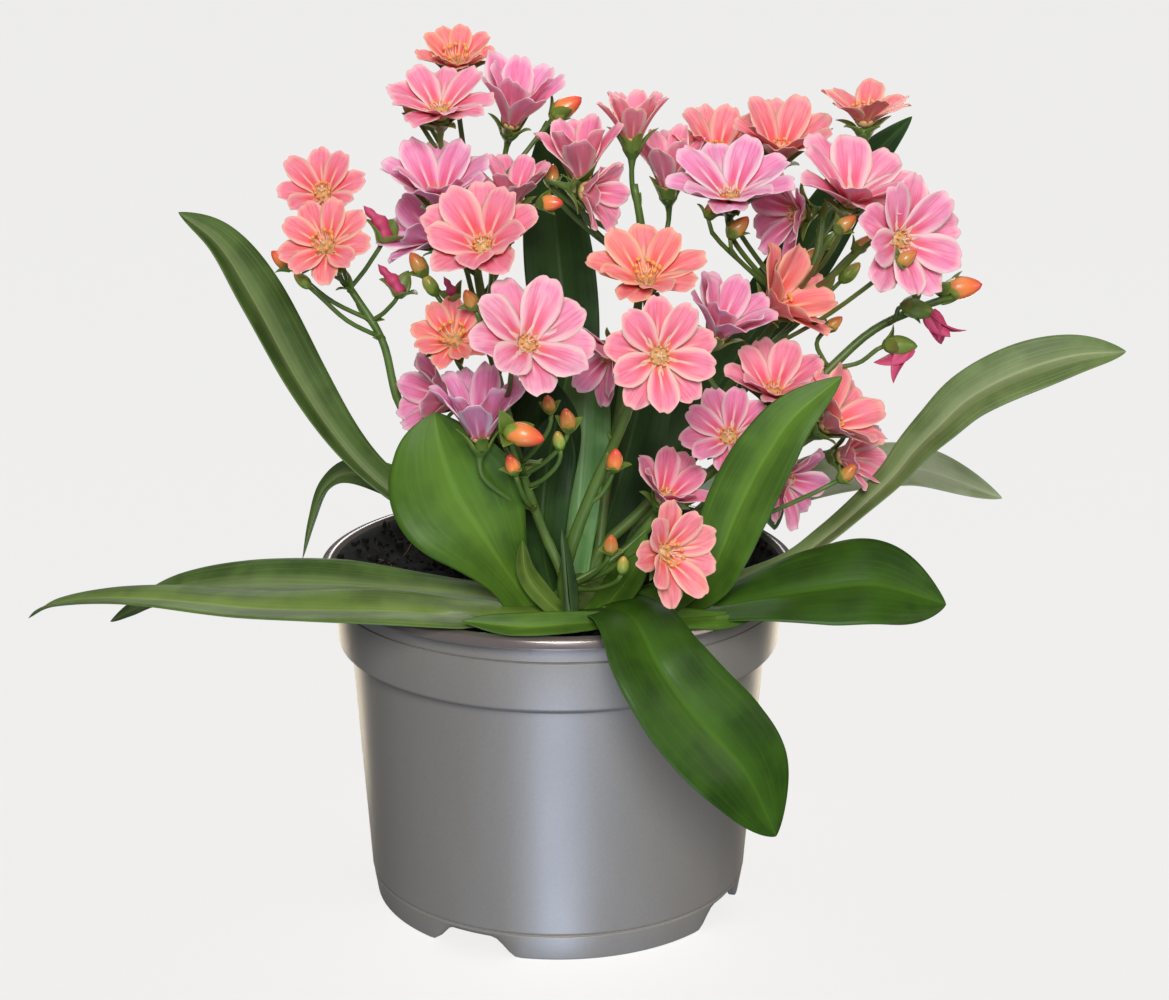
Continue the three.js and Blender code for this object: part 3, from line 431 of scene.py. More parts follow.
chance = np.random.default_rng(7)
top_radii = np.linspace(SOIL_EDGE, 0, SOIL_RINGS)[1:]
soil = revolved(np.concatenate([SOIL_PROFILE, np.stack([top_radii, np.full(len(top_radii), SOIL_TOP)], 1)]),
                SOIL_SIDES)
on_top = soil[len(SOIL_PROFILE):]
on_top[..., 2] = clods(on_top[..., 0], on_top[..., 1])

half_turn = np.linspace(0, np.pi, CRUMB_ROWS)
ball = revolved(np.stack([np.sin(half_turn), -np.cos(half_turn)], 1), CRUMB_SIDES).reshape(1, -1, 3)
size = chance.uniform(*CRUMB_SIZE, (CRUMBS, 1, 1)) ** 1.5 * chance.uniform(*CRUMB_STRETCH, (CRUMBS, 1, 3))
lump = 1 + CRUMB_LUMP * np.sin(3 * (ball + chance.uniform(0, 9, (CRUMBS, 1, 3)))).sum(-1, keepdims=True)
radius = (SOIL_EDGE - 1) * np.sqrt(chance.uniform(0, 1, CRUMBS))
angle = chance.uniform(0, 2 * np.pi, CRUMBS)
x, y = radius * np.cos(angle), radius * np.sin(angle)
crumbs = np.stack([x, y, clods(x, y) + CRUMB_LIFT], 1)[:, None] + ball * size * lump
crumb_faces = grid_faces(CRUMB_ROWS, CRUMB_SIDES, closed=True)
crumb_faces = crumb_faces[None] + np.arange(CRUMBS)[:, None, None] * ball.shape[1]
crumb_map = grid_corners(np.linspace(0, 1, CRUMB_SIDES + 1), np.linspace(0, 1, CRUMB_ROWS))
crumb_map = np.tile(crumb_map, (CRUMBS, 1, 1))
parts = [turned(soil), (crumbs.reshape(-1, 3), crumb_faces.reshape(-1, 4), crumb_map, {}, PEAT)]
for _ in range(FIBRES):
    start = chance.uniform(-FIBRE_REACH, FIBRE_REACH, 2)
    start = start * min(1, FIBRE_REACH / np.hypot(*start))
    way = chance.uniform(-FIBRE_STEP, FIBRE_STEP, 2)
    bow = chance.uniform(-FIBRE_BOW, FIBRE_BOW, 2)
    line = np.array([start, start + way + bow, start + 2 * way])
    line = np.column_stack([line, clods(line[:, 0], line[:, 1]) + FIBRE_LIFT])
    radii = np.full(FIBRE_RINGS, chance.uniform(*FIBRE_RADIUS))
    parts.append(rod(curve_through(line), np.linspace(0, 1, FIBRE_RINGS), radii, FIBRE_SIDES, BARK))

# Peat: nearly black and matt, with brown specks of bark, 1.4 mm wide, between the wet crumbs. The shredded
# bark on it is patched every 8 mm, as its fibres split.
peat, tree, shader = material_of("moist_peat", {"Roughness": 0.92, "Specular IOR Level": 0.25})
place = add(tree, "TexCoord", {}, {}, "Object")
speck = add(tree, "TexNoise", {}, {"Vector": place, "Scale": 700.0, "Detail": 4.0})
brown = add(tree, "MapRange", SMOOTH, {0: speck, 1: 0.55, 2: 0.75})
tint = add(tree, "Mix", COLOUR, {0: brown, 6: "#0b0a09", 7: "#261d17"}, 2)
relief = add(tree, "Bump", {}, {"Height": speck, "Strength": 0.5, "Distance": 0.0005})
feed(shader, {"Base Color": tint, "Normal": relief})
bark, tree, shader = material_of("shredded_bark", {"Roughness": 0.8})
place = add(tree, "TexCoord", {}, {}, "Object")
patch = add(tree, "TexNoise", {}, {"Vector": place, "Scale": 120.0})
feed(shader, {"Base Color": add(tree, "Mix", COLOUR, {0: patch, 6: "#2a1d13", 7: "#6b4f37"}, 2)})

peat_fill = made_of("peat_fill", parts, [peat, bark])
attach(peat_fill, "root")
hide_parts("potting_soil")

# The crown. The plant's short woody stem, scarred by old leaves, with its taproot going down into the peat.
CROWN_PLACE = (5, -22, 84)
CROWN_PROFILE = (
    (0, -34, 0), (2.4, -30, 1), (4.8, -18, 2), (7.6, -5, 2), (8.8, 1, 1.5), (6.6, 5.4, 1.5), (0, 7, 0))
CROWN_SIDES = 40
SCARS = (
    # depth, how many go round, and how fast they wind up
    (0.05, 7, 0.9), (0.03, 13, -1),
)
crown_grid = revolved(filleted(CROWN_PROFILE), CROWN_SIDES)
x, y, z = np.moveaxis(crown_grid, -1, 0)
scars = sum((deep * np.sin(count * np.arctan2(y, x) + wind * z) for deep, count, wind in SCARS), 1)
crown_grid[..., :2] *= scars[..., None]

# Bark of the caudex: rough, brown-green, darker in its folds, which are 3 mm apart.
caudex, tree, shader = material_of("caudex_bark", {"Roughness": 0.85})
place = add(tree, "TexCoord", {}, {}, "Object")
fold = add(tree, "TexNoise", {}, {"Vector": place, "Scale": 350.0, "Detail": 4.0})
feed(shader, {
    "Base Color": add(tree, "Mix", COLOUR, {0: fold, 6: "#2f3d14", 7: "#627a2c"}, 2),
    "Normal": add(tree, "Bump", {}, {"Height": fold, "Strength": 0.6, "Distance": 0.001})})
crown = made_of("crown_stem", [turned(crown_grid + np.array(CROWN_PLACE))], [caudex])
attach(crown, "root")
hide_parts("crown")

# The leaves. Fleshy evergreen spoons that grow from the crown, each folded into a gutter along its rib. They
# lie on the lip or stand free of it, and keep clear of the peat.
LEAF_ROWS = 96
LEAF_COLS = 21
LEAF_POINT = 0.78
LEAF_EDGE = 0.35
LEAF_RIB = 1.6
LEAF_TIP = 0.02
LEAF_TAPER = 0.45
LEAF_CROWDING = 1.5
GUTTER_ROUND = 0.22
WAVE_HEIGHT = 0.07
RIPPLE_HEIGHT = 0.03
BULGE_HEIGHT = 0.05
CREASE_DEPTH = 0.3
CREASE_WIDTH = 0.07
LIP_CLEAR = 88.3
LIP_INSIDE = (48, 53)
LIP_OUTSIDE = (60.5, 66)
LIP_LIFT = 10
SOIL_CLEAR = 84.2
SOIL_REACH = 54
SOIL_LIFT = 6
LEAVES = (
    # name, finish, form, fold, the ways that it faces at its base and tip, and its line from the crown. The
    # form is the half-width, its share at the foot, the waist, as far as that keeps, and the widest place.
    # Blades with the same name are one piece: young ones stand round the foot of the tall ones. Those at the
    # rear, which nothing shows from the front, are given by their true places.
    ("upper_left", "grey", (7.6, 0.62, 0.3, 0.78), 0.45, ((0.6, -0.5, 0.6), (0.7, -0.6, 0.5)),
     ((0, -24, -20), (-12, -14, -16), (-28, -4, -8), (-43, 6, -2), (-54, 17, 2), (-65, 33, 5), (-76, 53, 7),
      (-85, 67, 8), (-95, 75, 8))),
    ("broad_front", "broad", (15.5, 0.36, 0.2, 0.67), 0.12, ((0.1, -1, 0.5), (-0.1, -1, 0.2)),
     ((-4, -27, -33), (-12, -16, -37), (-18.5, -6, -39), (-25.5, 5, -39), (-29.5, 16, -38.5),
      (-31, 25, -36.5))),
    ("back_bending", "grey", (4.5, 0.6, 0, 0.4), 0.3, ((0.2, -0.6, 0.8), (-0.9, -0.2, 0.3)),
     ((0, -18, -14), (-20, -3, 4), (-38, 6, 16), (-51, 10, 21), (-58, 6.5, 23), (-61.5, -2, 22),
      (-64, -12, 20))),
    ("left_front", "light", (8.5, 0.9, 0, 0.5), 0.14, ((0.1, -0.12, 1), (0, -0.12, 1)),
     ((3, -26, -34), (-18, -26, -44), (-40, -24.6, -49), (-58, -24.3, -47), (-76, -23.8, -41),
      (-98, -21.8, -30), (-115, -21.3, -20), (-127, -23, -10), (-132.5, -26.5, -4))),
    ("left_back", "grey", (8, 0.6, 0, 0.6), 0.2, ((0.1, -0.2, 1), (-0.1, -0.55, 1)),
     ((-2, -23, -25), (-22, -20.5, -29), (-40, -19, -30), (-57, -18, -28), (-78, -18, -20), (-96, -20, -10),
      (-106, -24, -4), (-112, -27.3, -1))),
    ("right_upright", "broad", (7.8, 0.6, 0, 0.58), 0.2, ((-0.3, -1, 0.5), (-0.3, -1, 0.4)),
     ((14, -25, -33), (28, -22, -38), (37, -16.5, -42), (41, -9, -45), (44, -1.5, -46), (48, 7, -46),
      (52.5, 15, -46), (59, 24, -45), (71, 34, -43))),
    ("far_right", "silver", (6.4, 0.5, 0.45, 0.82), 0.3, ((-0.7, -0.1, 0.8), (0.1, -1, 0.5)),
     ((12, -23, -24), (28, -20.5, -22), (42, -18, -20), (57, -13, -20), (67, -6, -21), (75.5, 1.3, -22),
      (83.5, 8.8, -22), (89, 15.5, -23), (95, 21.5, -24), (103, 28.8, -24), (115, 35, -24), (129, 39.2, -24),
      (142, 40.2, -24))),
    ("right_back", "dusty", (8, 0.3, 0, 0.68), 0.2, ((-0.3, -0.5, 0.9), (0, -0.6, 0.9)),
     ((8, -18, -14), (20, -12, -2), (35, -4, 12), (53, 4, 22), (68, 9, 26), (80, 11, 28), (92, 10.5, 30),
      (111, 3.5, 30))),
    ("right_low", "deep", (12, 0.42, 0.2, 0.72), 0.1, ((0, -0.3, 1), (0.2, -0.75, 0.8)),
     ((12, -24, -32), (28, -24.5, -38), (41, -23, -42), (53, -21, -44), (66, -19, -44), (80, -18, -44),
      (97, -23, -40))),
    ("front_drooping", "deep", (12.8, 0.55, 0, 0.62), 0.1, ((0, -0.3, 1), (0.3, -1, 0.3)),
     ((8, -24, -34), (15, -24, -48), (20, -28, -59), (25, -38, -68), (32, -48, -71), (40, -57, -72),
      (47.5, -66, -71), (54.5, -81, -66))),
    ("pale_middle", "pale", (6.5, 0.6, 0, 0.6), 0.25, ((0, -1, 0.4), (0, -1, 0.1)),
     ((3, -21, -20), (4, -9, -16), (5.5, 6, -11), (6.5, 21, -7), (7, 35, -3), (7, 46, 1))),
    ("pale_middle", "broad", (4.2, 0.7, 0, 0.5), 0.4, ((-0.2, -1, 0.5), (-0.4, -1, 0.4)),
     ((8, -27, -36), (14, -21, -39), (19, -14, -41), (22, -5, -42))),
    ("pale_middle", "broad", (4.6, 0.7, 0, 0.5), 0.3, ((0, -0.8, 0.8), (-0.2, -0.8, 0.8)),
     ((8, -27, -36), (18, -25, -42), (28, -22, -45), (38, -17, -47))),
    ("pale_middle", "light", (2.6, 0.7, 0, 0.5), 0.5, ((0.2, -1, 0.5), (0, -1, 0.3)),
     ((3, -27, -35), (-3, -22, -37), (-8, -15, -38), (-9, -7, -38))),
    ("pale_middle", "broad", (3.6, 0.8, 0, 0.45), 0.3, ((0, -0.7, 0.7), (0, -0.6, 0.8)),
     ((16, -28, -50), (2, -28.5, -54), (-10, -28.5, -56), (-24, -27.2, -56))),
    # Blades with the shaded finish carry painted shade: they stand deep in the plant.
    ("pale_middle", "shaded", (2, 0.9, 0, 0.3), 0.5, ((0.8, -0.5, 0.2), (0.8, -0.5, 0.2)),
     ((3.5, -29, -49), (3, -22, -46), (2, -12, -43), (1, -4, -41))),
    ("pale_middle", "broad", (4.2, 0.8, 0, 0.45), 0.25, ((0, -0.7, 0.7), (0, -0.6, 0.8)),
     ((10, -26.5, -42), (24, -28, -50), (37, -28, -49), (50, -26, -44))),
    ("tall_back", "shaded", (9, 0.3, 0, 0.66), 0.3, ((0, -1, 0.4), (0, -1, -0.2)),
     ((4, -17, -12), (4, -2, 2), (3, 22, 14), (2, 45, 24), (0, 65, 30), (-2, 83, 33), (-3, 98, 33))),
    ("tall_right", "shaded", (8, 0.6, 0, 0.66), 0.3, ((0, -1, 0.4), (0, -1, 0.2)),
     ((8, -17, -10), (14, -6, 8), (28, 14, 24), (44, 38, 36), (62, 65, 42), (76, 86, 44), (88.5, 99, 44))),
    ("tall_right", "shaded", (8.5, 0.6, 0, 0.6), 0.3, ((0, -1, 0.4), (0, -1, 0.2)),
     ((7, -17, -10), (13, 0, 0), (18, 18, 8), (22, 34, 14), (24, 46, 18))),
    ("behind_front", "shaded", (6.8, 0.6, 0, 0.7), 0.3, ((0, -1, 0.4), (0, -1, 0.1)),
     ((0, -23, -26), (-3, -14, -26), (-4, -2, -25), (-3, 10, -22), (0, 25, -18))),
    ("behind_front", "shaded", (11, 0.3, 0, 0.72), 0.15, ((0.1, -1, 0.4), (0, -1, 0.1)),
     ((0, -21, -22), (-4, -6, -20), (-6, 12, -18), (-4, 35, -16))),
    ("rear_left", "broad", (11, 0.3, 0, 0.62), 0.15, ((0, 0.3, 1), (0, 0.3, 1)),
     ((1, -14, 87), (-8, 4, 98), (-18, 26, 104), (-27, 48, 103), (-34, 66, 94), (-38, 76, 80))),
    ("rear_middle", "deep", (12, 0.3, 0, 0.62), 0.15, ((0, -0.2, 1), (0, 0.4, 1)),
     ((5, -13, 89), (6, 6, 102), (8, 28, 112), (10, 48, 115), (12, 64, 108), (13, 76, 94))),
    ("rear_right", "broad", (11, 0.3, 0, 0.62), 0.15, ((0, 0.2, 1), (0.2, 0.2, 1)),
     ((10, -15, 88), (20, 2, 96), (32, 22, 99), (44, 42, 97), (54, 58, 88), (60, 68, 74))),
)
LEAF_TONES = {
    # the blade's dark and middle green, the green of the band along its rib, its edge, and its roughness
    "broad": ("#3a5a16", "#4b6e1e", "#6c9230", "#3a5618", 0.55),
    "light": ("#485e22", "#5e7830", "#8aa04a", "#526a2a", 0.55),
    "grey": ("#3a521e", "#4e682c", "#8e9f68", "#5f7440", 0.55),
    "silver": ("#546834", "#6c804a", "#a4ae80", "#74845a", 0.55),
    "dusty": ("#7c8a64", "#98a482", "#b8c0a4", "#a2ac8c", 0.55),
    "pale": ("#558a48", "#74a45e", "#9cc28a", "#709a54", 0.5),
    "deep": ("#24400a", "#30520e", "#48701a", "#3c5e1c", 0.5),
    # shaded: painted shade, the leaf greens darkened for blades that stand deep in the plant's shade
    "shaded": ("#16300c", "#234214", "#3a5a24", "#2c4a1c", 0.55),
}


def jitter(n):
    """A number from 0 to 1 that looks drawn by chance: the fraction of sin(12.9898 n) 43758.5453."""
    return np.sin(np.asarray(n) * 12.9898) * 43758.5453 % 1


def skin(top, under, v, finish=0, **marks):
    """A closed part from an upper and an under grid of points: the two faces and the edge all round them. The
    mark "under" is 1 on the under face."""
    rows, cols = top.shape[:2]
    size = rows * cols
    k = np.arange(size).reshape(rows, cols)
    ring = np.concatenate([k[0], k[1:, -1], k[-1, -2::-1], k[-2:0:-1, 0]])
    after = np.roll(ring, -1)
    edge = np.stack([after, ring, ring + size, after + size], -1)
    faces = grid_faces(rows, cols)
    faces = np.concatenate([faces, faces[:, ::-1] + size, edge])
    place = np.stack(np.meshgrid(np.linspace(0, 1, cols), v), -1).reshape(-1, 2)
    place = np.concatenate([place, place])
    points = np.concatenate([top.reshape(-1, 3), under.reshape(-1, 3)])
    return points, faces, place[faces], {**marks, "under": np.repeat([0.0, 1.0], size)}, finish


def leaf_part(number, form, fold, face, line, finish=0):
    """A leaf: at share s of its line and u from -1 to 1 across, a point lies u half(s) to the side. It rises
    by fold half(s) (sqrt(u^2 + k^2) - k), a rounded gutter, with slow waves in its edges, a bulge each side
    of the rib and a crease along it. half(s) grows by a smooth step from the waist to the widest place and
    then falls as (1 - rest^2)^0.78, which ends in a point, where rest goes from 0 there to 1 at the tip."""
    half_width, foot, waist, widest = form
    s = 1 - (1 - np.linspace(0, 1, LEAF_ROWS)) ** LEAF_CROWDING
    u = np.linspace(-1, 1, LEAF_COLS)[None, :]
    centre, along = at(curve_through(line), s)
    start, end = unit(face)
    side = unit(np.cross(along, start + (end - start) * s[:, None]))
    normal = np.cross(side, along)
    rest = np.clip((s - widest) / (1 - widest), 0, 1)[:, None]
    s = s[:, None]
    half = half_width * (foot + (1 - foot) * smooth_step(s, waist, widest)) * (1 - rest ** 2) ** LEAF_POINT
    gutter = np.sqrt(u * u + GUTTER_ROUND ** 2) - GUTTER_ROUND
    gutter = gutter / (np.sqrt(1 + GUTTER_ROUND ** 2) - GUTTER_ROUND)
    draw = jitter(number)
    wave = WAVE_HEIGHT * u * u * np.sin(9 * s + 6 * draw + 1.4 * u)
    wave = wave + RIPPLE_HEIGHT * np.sin(17 * s + 4 * u + 9 * draw) * np.abs(u)
    bulge = BULGE_HEIGHT * np.sin(np.pi * np.abs(u))
    crease = CREASE_DEPTH * np.exp(-(u / CREASE_WIDTH) ** 2) * (1 - rest)
    rise = half * (fold * gutter + wave + bulge) - crease
    top = centre[:, None] + side[:, None] * (u * half)[..., None] + normal[:, None] * rise[..., None]
    thick = LEAF_EDGE + (LEAF_RIB - LEAF_EDGE) * (1 - u * u) ** 0.8 * (1 - LEAF_TAPER * s)
    thick = thick * (1 - rest ** 8) + LEAF_TIP
    under = top - normal[:, None] * thick[..., None]
    reach = np.hypot(under[..., 0], under[..., 1])
    over_lip = smooth_step(reach, *LIP_INSIDE) * (1 - smooth_step(reach, *LIP_OUTSIDE))
    up = np.clip(LIP_CLEAR - under[..., 2], 0, LIP_LIFT) * over_lip
    up = np.maximum(up, np.clip(SOIL_CLEAR - under[..., 2], 0, SOIL_LIFT) * (reach < SOIL_REACH))
    top[..., 2] += up
    under[..., 2] += up
    return skin(top, under, s[:, 0], finish)


def leaf_finish(name, dark, middle, band, edge, roughness):
    """The waxy skin of a fleshy leaf: green, clouded every 11 mm, with streaks along it as wide as a 22nd of
    the blade, a lighter band along the rib, a thin edge, and a paler, duller underside."""
    material, tree, shader = material_of(f"waxy_leaf_{name}", {
        "Coat Weight": 0.05, "Coat Roughness": 0.3, "Subsurface Weight": 0.06, "Subsurface Scale": 0.002,
        "Subsurface Radius": (0.3, 0.8, 0.15), "Specular IOR Level": 0.22})
    place = add(tree, "TexCoord", {}, {}, "Object")
    across, along, _ = add(tree, "SeparateXYZ", {}, {
        0: add(tree, "TexCoord", {}, {}, "UV")}).node.outputs
    off_rib = add(tree, "Math", {"operation": "ABSOLUTE"}, {
        0: add(tree, "Math", {"operation": "MULTIPLY_ADD"}, {0: across, 1: 2.0, 2: -1.0})})
    cloud = add(tree, "TexNoise", {}, {"Vector": place, "Scale": 90.0, "Detail": 3.0})
    stretched = add(tree, "CombineXYZ", {}, {0: across, 1: add(
        tree, "Math", {"operation": "MULTIPLY"}, {0: along, 1: 0.12})})
    streak = add(tree, "TexNoise", {}, {"Vector": stretched, "Scale": 22.0, "Detail": 4.0})
    masks = {}
    for key, value, low, high in (
        # mask, what it is read from, and where that is 0 and where it is 1
        ("cloudy", cloud, 0.35, 0.65), ("streaky", streak, 0.45, 0.72), ("band", off_rib, 0.55, 0.0),
        ("rib", off_rib, 0.07, 0.02), ("edge", off_rib, 0.93, 1.0),
    ):
        masks[key] = add(tree, "MapRange", SMOOTH, {0: value, 1: low, 2: high})
    masks["under"] = add(tree, "Attribute", {"attribute_name": "under"}, {}, "Fac")
    tint = add(tree, "Mix", COLOUR, {0: masks["cloudy"], 6: dark, 7: middle}, 2)
    for key, amount, code in (
        # mask, how strong its colour is there, and the colour
        ("streaky", 0.22, band), ("band", 0.4, band), ("rib", 0.45, band), ("edge", 0.7, edge),
        ("under", 0.4, "#8aa172"),
    ):
        weight = add(tree, "Math", {"operation": "MULTIPLY"}, {0: masks[key], 1: amount})
        tint = add(tree, "Mix", COLOUR, {0: weight, 6: tint, 7: code}, 2)
    dull = add(tree, "Math", {"operation": "MULTIPLY_ADD"}, {0: masks["under"], 1: 0.2, 2: roughness})
    relief = add(tree, "Bump", {}, {"Height": streak, "Strength": 0.25, "Distance": 0.0004})
    feed(shader, {"Base Color": tint, "Roughness": dull, "Normal": relief})
    return material


leaf_skins = {name: leaf_finish(name, *tones) for name, tones in LEAF_TONES.items()}
tones = list(LEAF_TONES)
for name in dict.fromkeys(row[0] for row in LEAVES):
    parts = []
    for number, (own, finish, form, fold, face, line) in enumerate(LEAVES):
        if own == name:
            line = line if name.startswith("rear") else seen(line)
            parts.append(leaf_part(number, form, fold, face, line, tones.index(finish)))
    leaf = made_of(f"blade_{name}", parts, list(leaf_skins.values()))
    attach(leaf, "root")
    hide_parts(f"leaf_{name}")

# The flower stalks. Smooth green scapes that branch into thin pedicels, with a pointed bract at each branch.
# A pedicel ends in a calyx of sepals under a bloom, in a plump bud, or in a withered flower.
PEDICEL_RADIUS = 0.62
PEDICEL_END_RUN = 8
PEDICEL_SAG = 1.5
PEDICEL_RISE = 0.6
PEDICEL_SIDES = 8
PEDICEL_GAP = 0.3
SCAPE_TIP_RADIUS = 0.9
SCAPE_SIDES = 12
SCAPE_RINGS = 40
SCAPE_KNOBS = 5
KNOB_SIZE = 0.12
KNOB_WIDTH = 0.08
STEM_RINGS = 13
CUP_RINGS = 12
CALYX_SIDES = 10
CALYX_LENGTH = 5
CALYX_PROFILE = ((0, 0.7), (0.35, 1.0), (0.62, 1.9), (0.8, 2.4), (1, 2.15))
SEPALS = 5
SEPAL_LENGTH = 6.5
SEPAL_HALF_WIDTH = 1.5
SEPAL_ROWS = 9
SEPAL_COLS = 5
SEPAL_FOOT = 0.12
SEPAL_HOLLOW = 0.35
SEPAL_BEND = 0.35
SEPAL_EDGE = 0.12
SEPAL_RIB = 0.25
SEPAL_RING = 1.9
SEPAL_LOW = 1.2
BUD_LENGTH = 7.5
BUD_RADIUS = 2.1
BUD_STEM_RINGS = 10
BUD_ROWS = 14
BUD_SIDES = 14
BUD_FURROWS = 5
FURROW_DEPTH = 0.05
BUD_SEPALS = 3
BUD_SEPAL_HALF_WIDTH = 1.7
BRACT_LENGTH = 6
BRACT_HALF_WIDTH = 1.1
BRACT_OPENING = 0.35
SCAPES = (
    # name, foot's radius, line, and buds as their place, size, kind and their own way, if they don't lean out
    ("left", 1.3,
     ((1, -20, -18), (-16, -6, -20), (-32, 14, -16), (-40, 28, -14), (-44, 43, -12), (-52, 56, -10)),
     (((-69, 63, -14), 0.9, "orange"), ((-64, 58, -18), 0.7, "green"), ((-45, 72, -12), 1.5, "withered"),
      ((-42, 58, -16), 1.3, "withered"))),
    ("upper_left", 1.5,
     ((1, -20, -18), (-7, 3, -18), (-14, 28, -20), (-19, 53, -20), (-22, 73, -16), (-22, 88, -12)),
     (((2, 101, -4), 1.2, "orange", (1, 0, 0.7)), ((-37, 101, -14), 0.8, "tan"),
      ((-33, 98, -10), 0.7, "green"), ((-35, 62, -30), 0.9, "tan"),
      ((-2, 77, -26), 0.9, "orange", (0.9, -0.4, 0.2)),
      ((-32, 57, -30), 0.8, "green"), ((-27, 56, -34), 0.9, "withered"))),
    ("middle_left", 1.3,
     ((2, -26, -34), (1.5, -17, -36), (-4, -4, -34), (-9, 10, -36), (-12, 22, -38), (-15, 34, -38)),
     (((-8.5, 19, -54), 1.3, "orange", (1, -0.3, -0.1)), ((2, 23, -46), 0.9, "tan"),
      ((-2.5, 27, -48), 0.7, "tan"), ((0, 18, -44), 0.7, "green"), ((-11.5, 12, -46), 0.8, "orange"),
      ((-22, 53, -42), 0.8, "tan"))),
    ("middle", 1.7,
     ((2, -26, -34), (1.5, -17, -36), (3.5, -8, -40), (8, 4, -42), (16, 22, -42), (21, 38, -40),
      (22, 50, -36)),
     (((13, -8, -54), 0.8, "tan"), ((14, 13, -46), 0.9, "orange"), ((16, -13, -56), 0.7, "green"))),
    ("top", 1.3,
     ((8, -21, -18), (10, -10, -16), (12, 6, -12), (16, 30, -8), (20, 52, -8), (21, 68, -8), (19, 82, -8)),
     (((-1, 84, -8), 0.8, "tan"),)),
    ("right", 1.5,
     ((8, -21, -18), (10, -10, -16), (24, 4, -14), (42, 30, -12), (56, 50, -12), (64, 62, -12),
      (66, 74, -10)),
     (((40, 76, -28), 0.9, "orange"), ((45.5, 71, -26), 0.9, "tan"), ((72, 72, -40), 0.8, "tan"),
      ((87, 63.5, -46), 0.8, "tan"), ((67, 57, -4), 0.8, "green"), ((73, 60, -6), 0.9, "green"),
      ((68, 68, -4), 0.8, "green"), ((76, 67, -10), 0.8, "tan"), ((63, 64, -2), 0.7, "tan"))),
    ("far_right", 1.4,
     ((10, -22, -26), (22, -4, -28), (38, 10, -28), (54, 22, -26), (66, 34, -24), (78, 45, -22),
      (90, 51, -20), (99, 54, -19)),
     (((101, 56, -18), 1.3, "orange", (1, 0, 0.2)), ((90, 50.5, -26), 1.1, "limp", (1, -0.2, -0.2)),
      ((85.5, 41.5, -26), 1.1, "turned", (1, 0, 0)), ((69, 47, -26), 0.7, "tan"),
      ((72, 10, -42), 0.8, "tan"))),
)
STALKS = (("left", "upper_left"), ("middle", "middle_left"), ("right", "top"), ("far_right",))
BLOOMS = (
    # scape, place, turn to the right and tilt upwards in degrees, petal length, opening angle, petals, tone
    # from lilac to salmon, and paleness
    ("upper_left", (-25.5, 110.5, 6), 0, 61, 9, 50, 9, 1.0, 0.0),
    ("upper_left", (-29.5, 98.5, -18), -2, 67, 12, 63, 9, 0.5, 0.15),
    ("upper_left", (-12, 96, -4), 32, 68, 16, 30, 9, 0.2, 0.3),
    ("upper_left", (-30, 77, -22), -4, 68, 14, 46, 9, 0.15, 0.35),
    ("upper_left", (-30, 67.5, -10), -63, 40, 12.5, 44, 8, 0.0, 0.3),
    ("upper_left", (-18.5, 65.5, -44), -14, 44, 14, 52, 10, 0.65, 0.0),
    ("upper_left", (-11.5, 76.5, -14), 13, 76, 10.5, 36, 8, 0.4, 0.2),
    ("middle_left", (-26, 42, -38), -6, 45, 8.5, 60, 9, 1.0, 0.0),
    ("middle_left", (-8.5, 41, -58), 24, 40, 14.5, 64, 9, 0.35, 0.5),
    ("middle_left", (-19.5, 17.5, -44), -11, 80, 15.5, 29, 9, 0.0, 0.45),
    ("middle_left", (-26, 28, -24), -67, 14, 12, 40, 8, 0.25, 0.15),
    ("left", (-58.5, 78.5, -4), -5, 42, 10, 56, 8, 0.75, 0.0),
    ("left", (-57.5, 65.5, -20), -11, 38, 10, 66, 9, 0.9, 0.0),
    ("top", (18.5, 92, -8), 1, 87, 11, 28, 9, 0.55, 0.3),
    ("top", (6, 82.5, -14), -19, 78, 14, 28, 8, 0.4, 0.0),
    ("top", (5.5, 80.5, -26), 61, -6, 9.5, 46, 8, 0.45, 0.2),
    ("top", (27.5, 80, 4), -5, 80, 14, 26, 9, 0.4, 0.35),
    ("right", (39.5, 88, 12), 7, 62, 12, 44, 9, 0.8, 0.45),
    ("right", (55, 88, 4), 9, 66, 13.5, 42, 9, 0.8, 0.25),
    ("right", (43, 77, -24), -7, 67, 14.5, 60, 9, 0.15, 0.45),
    ("right", (61.5, 75, -10), -65, 1, 11.5, 57, 8, 0.2, 0.1),
    ("right", (72.5, 76.5, -28), 28, 66, 16, 56, 9, 0.4, 0.25),
    ("right", (76.5, 96.5, -2), 3, 84, 11, 56, 7, 0.9, 0.0),
    ("right", (84, 68, -40), 33, 12, 13.5, 66, 10, 0.35, 0.25),
    ("middle", (22, 56.5, -46), -2, 60, 12.5, 59, 9, 1.0, 0.0),
    ("middle", (24.5, 39, -64), 16, 14, 11.5, 75, 10, 0.65, 0.0),
    ("far_right", (39.5, 43.5, -34), 42, 62, 13, 36, 9, 0.2, 0.3),
    ("far_right", (52, 50.5, -23), 64, 36, 14.5, 45, 8, 1.0, 0.0),
    ("far_right", (53.5, 28.5, -28), 10, 62, 12.5, 50, 9, 0.55, 0.15),
    ("far_right", (43, 18, -33), -16, 42, 10.5, 60, 9, 0.3, 0.1),
    ("middle", (26, 2.5, -32), 40, 58, 11, 41, 8, 0.4, 0.0),
    ("middle", (25.5, -10, -64), 38, 11, 11, 60, 9, 0.85, 0.15),
    ("far_right", (66, 21, -28), 62, 42, 13, 47, 8, 0.8, 0.05),
    ("middle", (14, 40.5, -20), -47, -15, 11, 46, 8, 0.3, 0.1),
    ("far_right", (70, 14, -16), 55, 12, 10, 40, 7, 0.5, 0.35),
    ("far_right", (55, 9, -22), 52, -17, 10.5, 59, 8, 0.25, 0.25),
)
CROWN_SPREAD = 60
STALK, CALYX, BUD, GREEN_BUD, WITHERED, TAN_BUD = range(6)
BUD_FINISH = {"orange": BUD, "tan": TAN_BUD, "green": GREEN_BUD, "withered": WITHERED, "limp": CALYX,
              "turned": CALYX}
LIMP = {"limp": 0.7, "turned": -0.8}
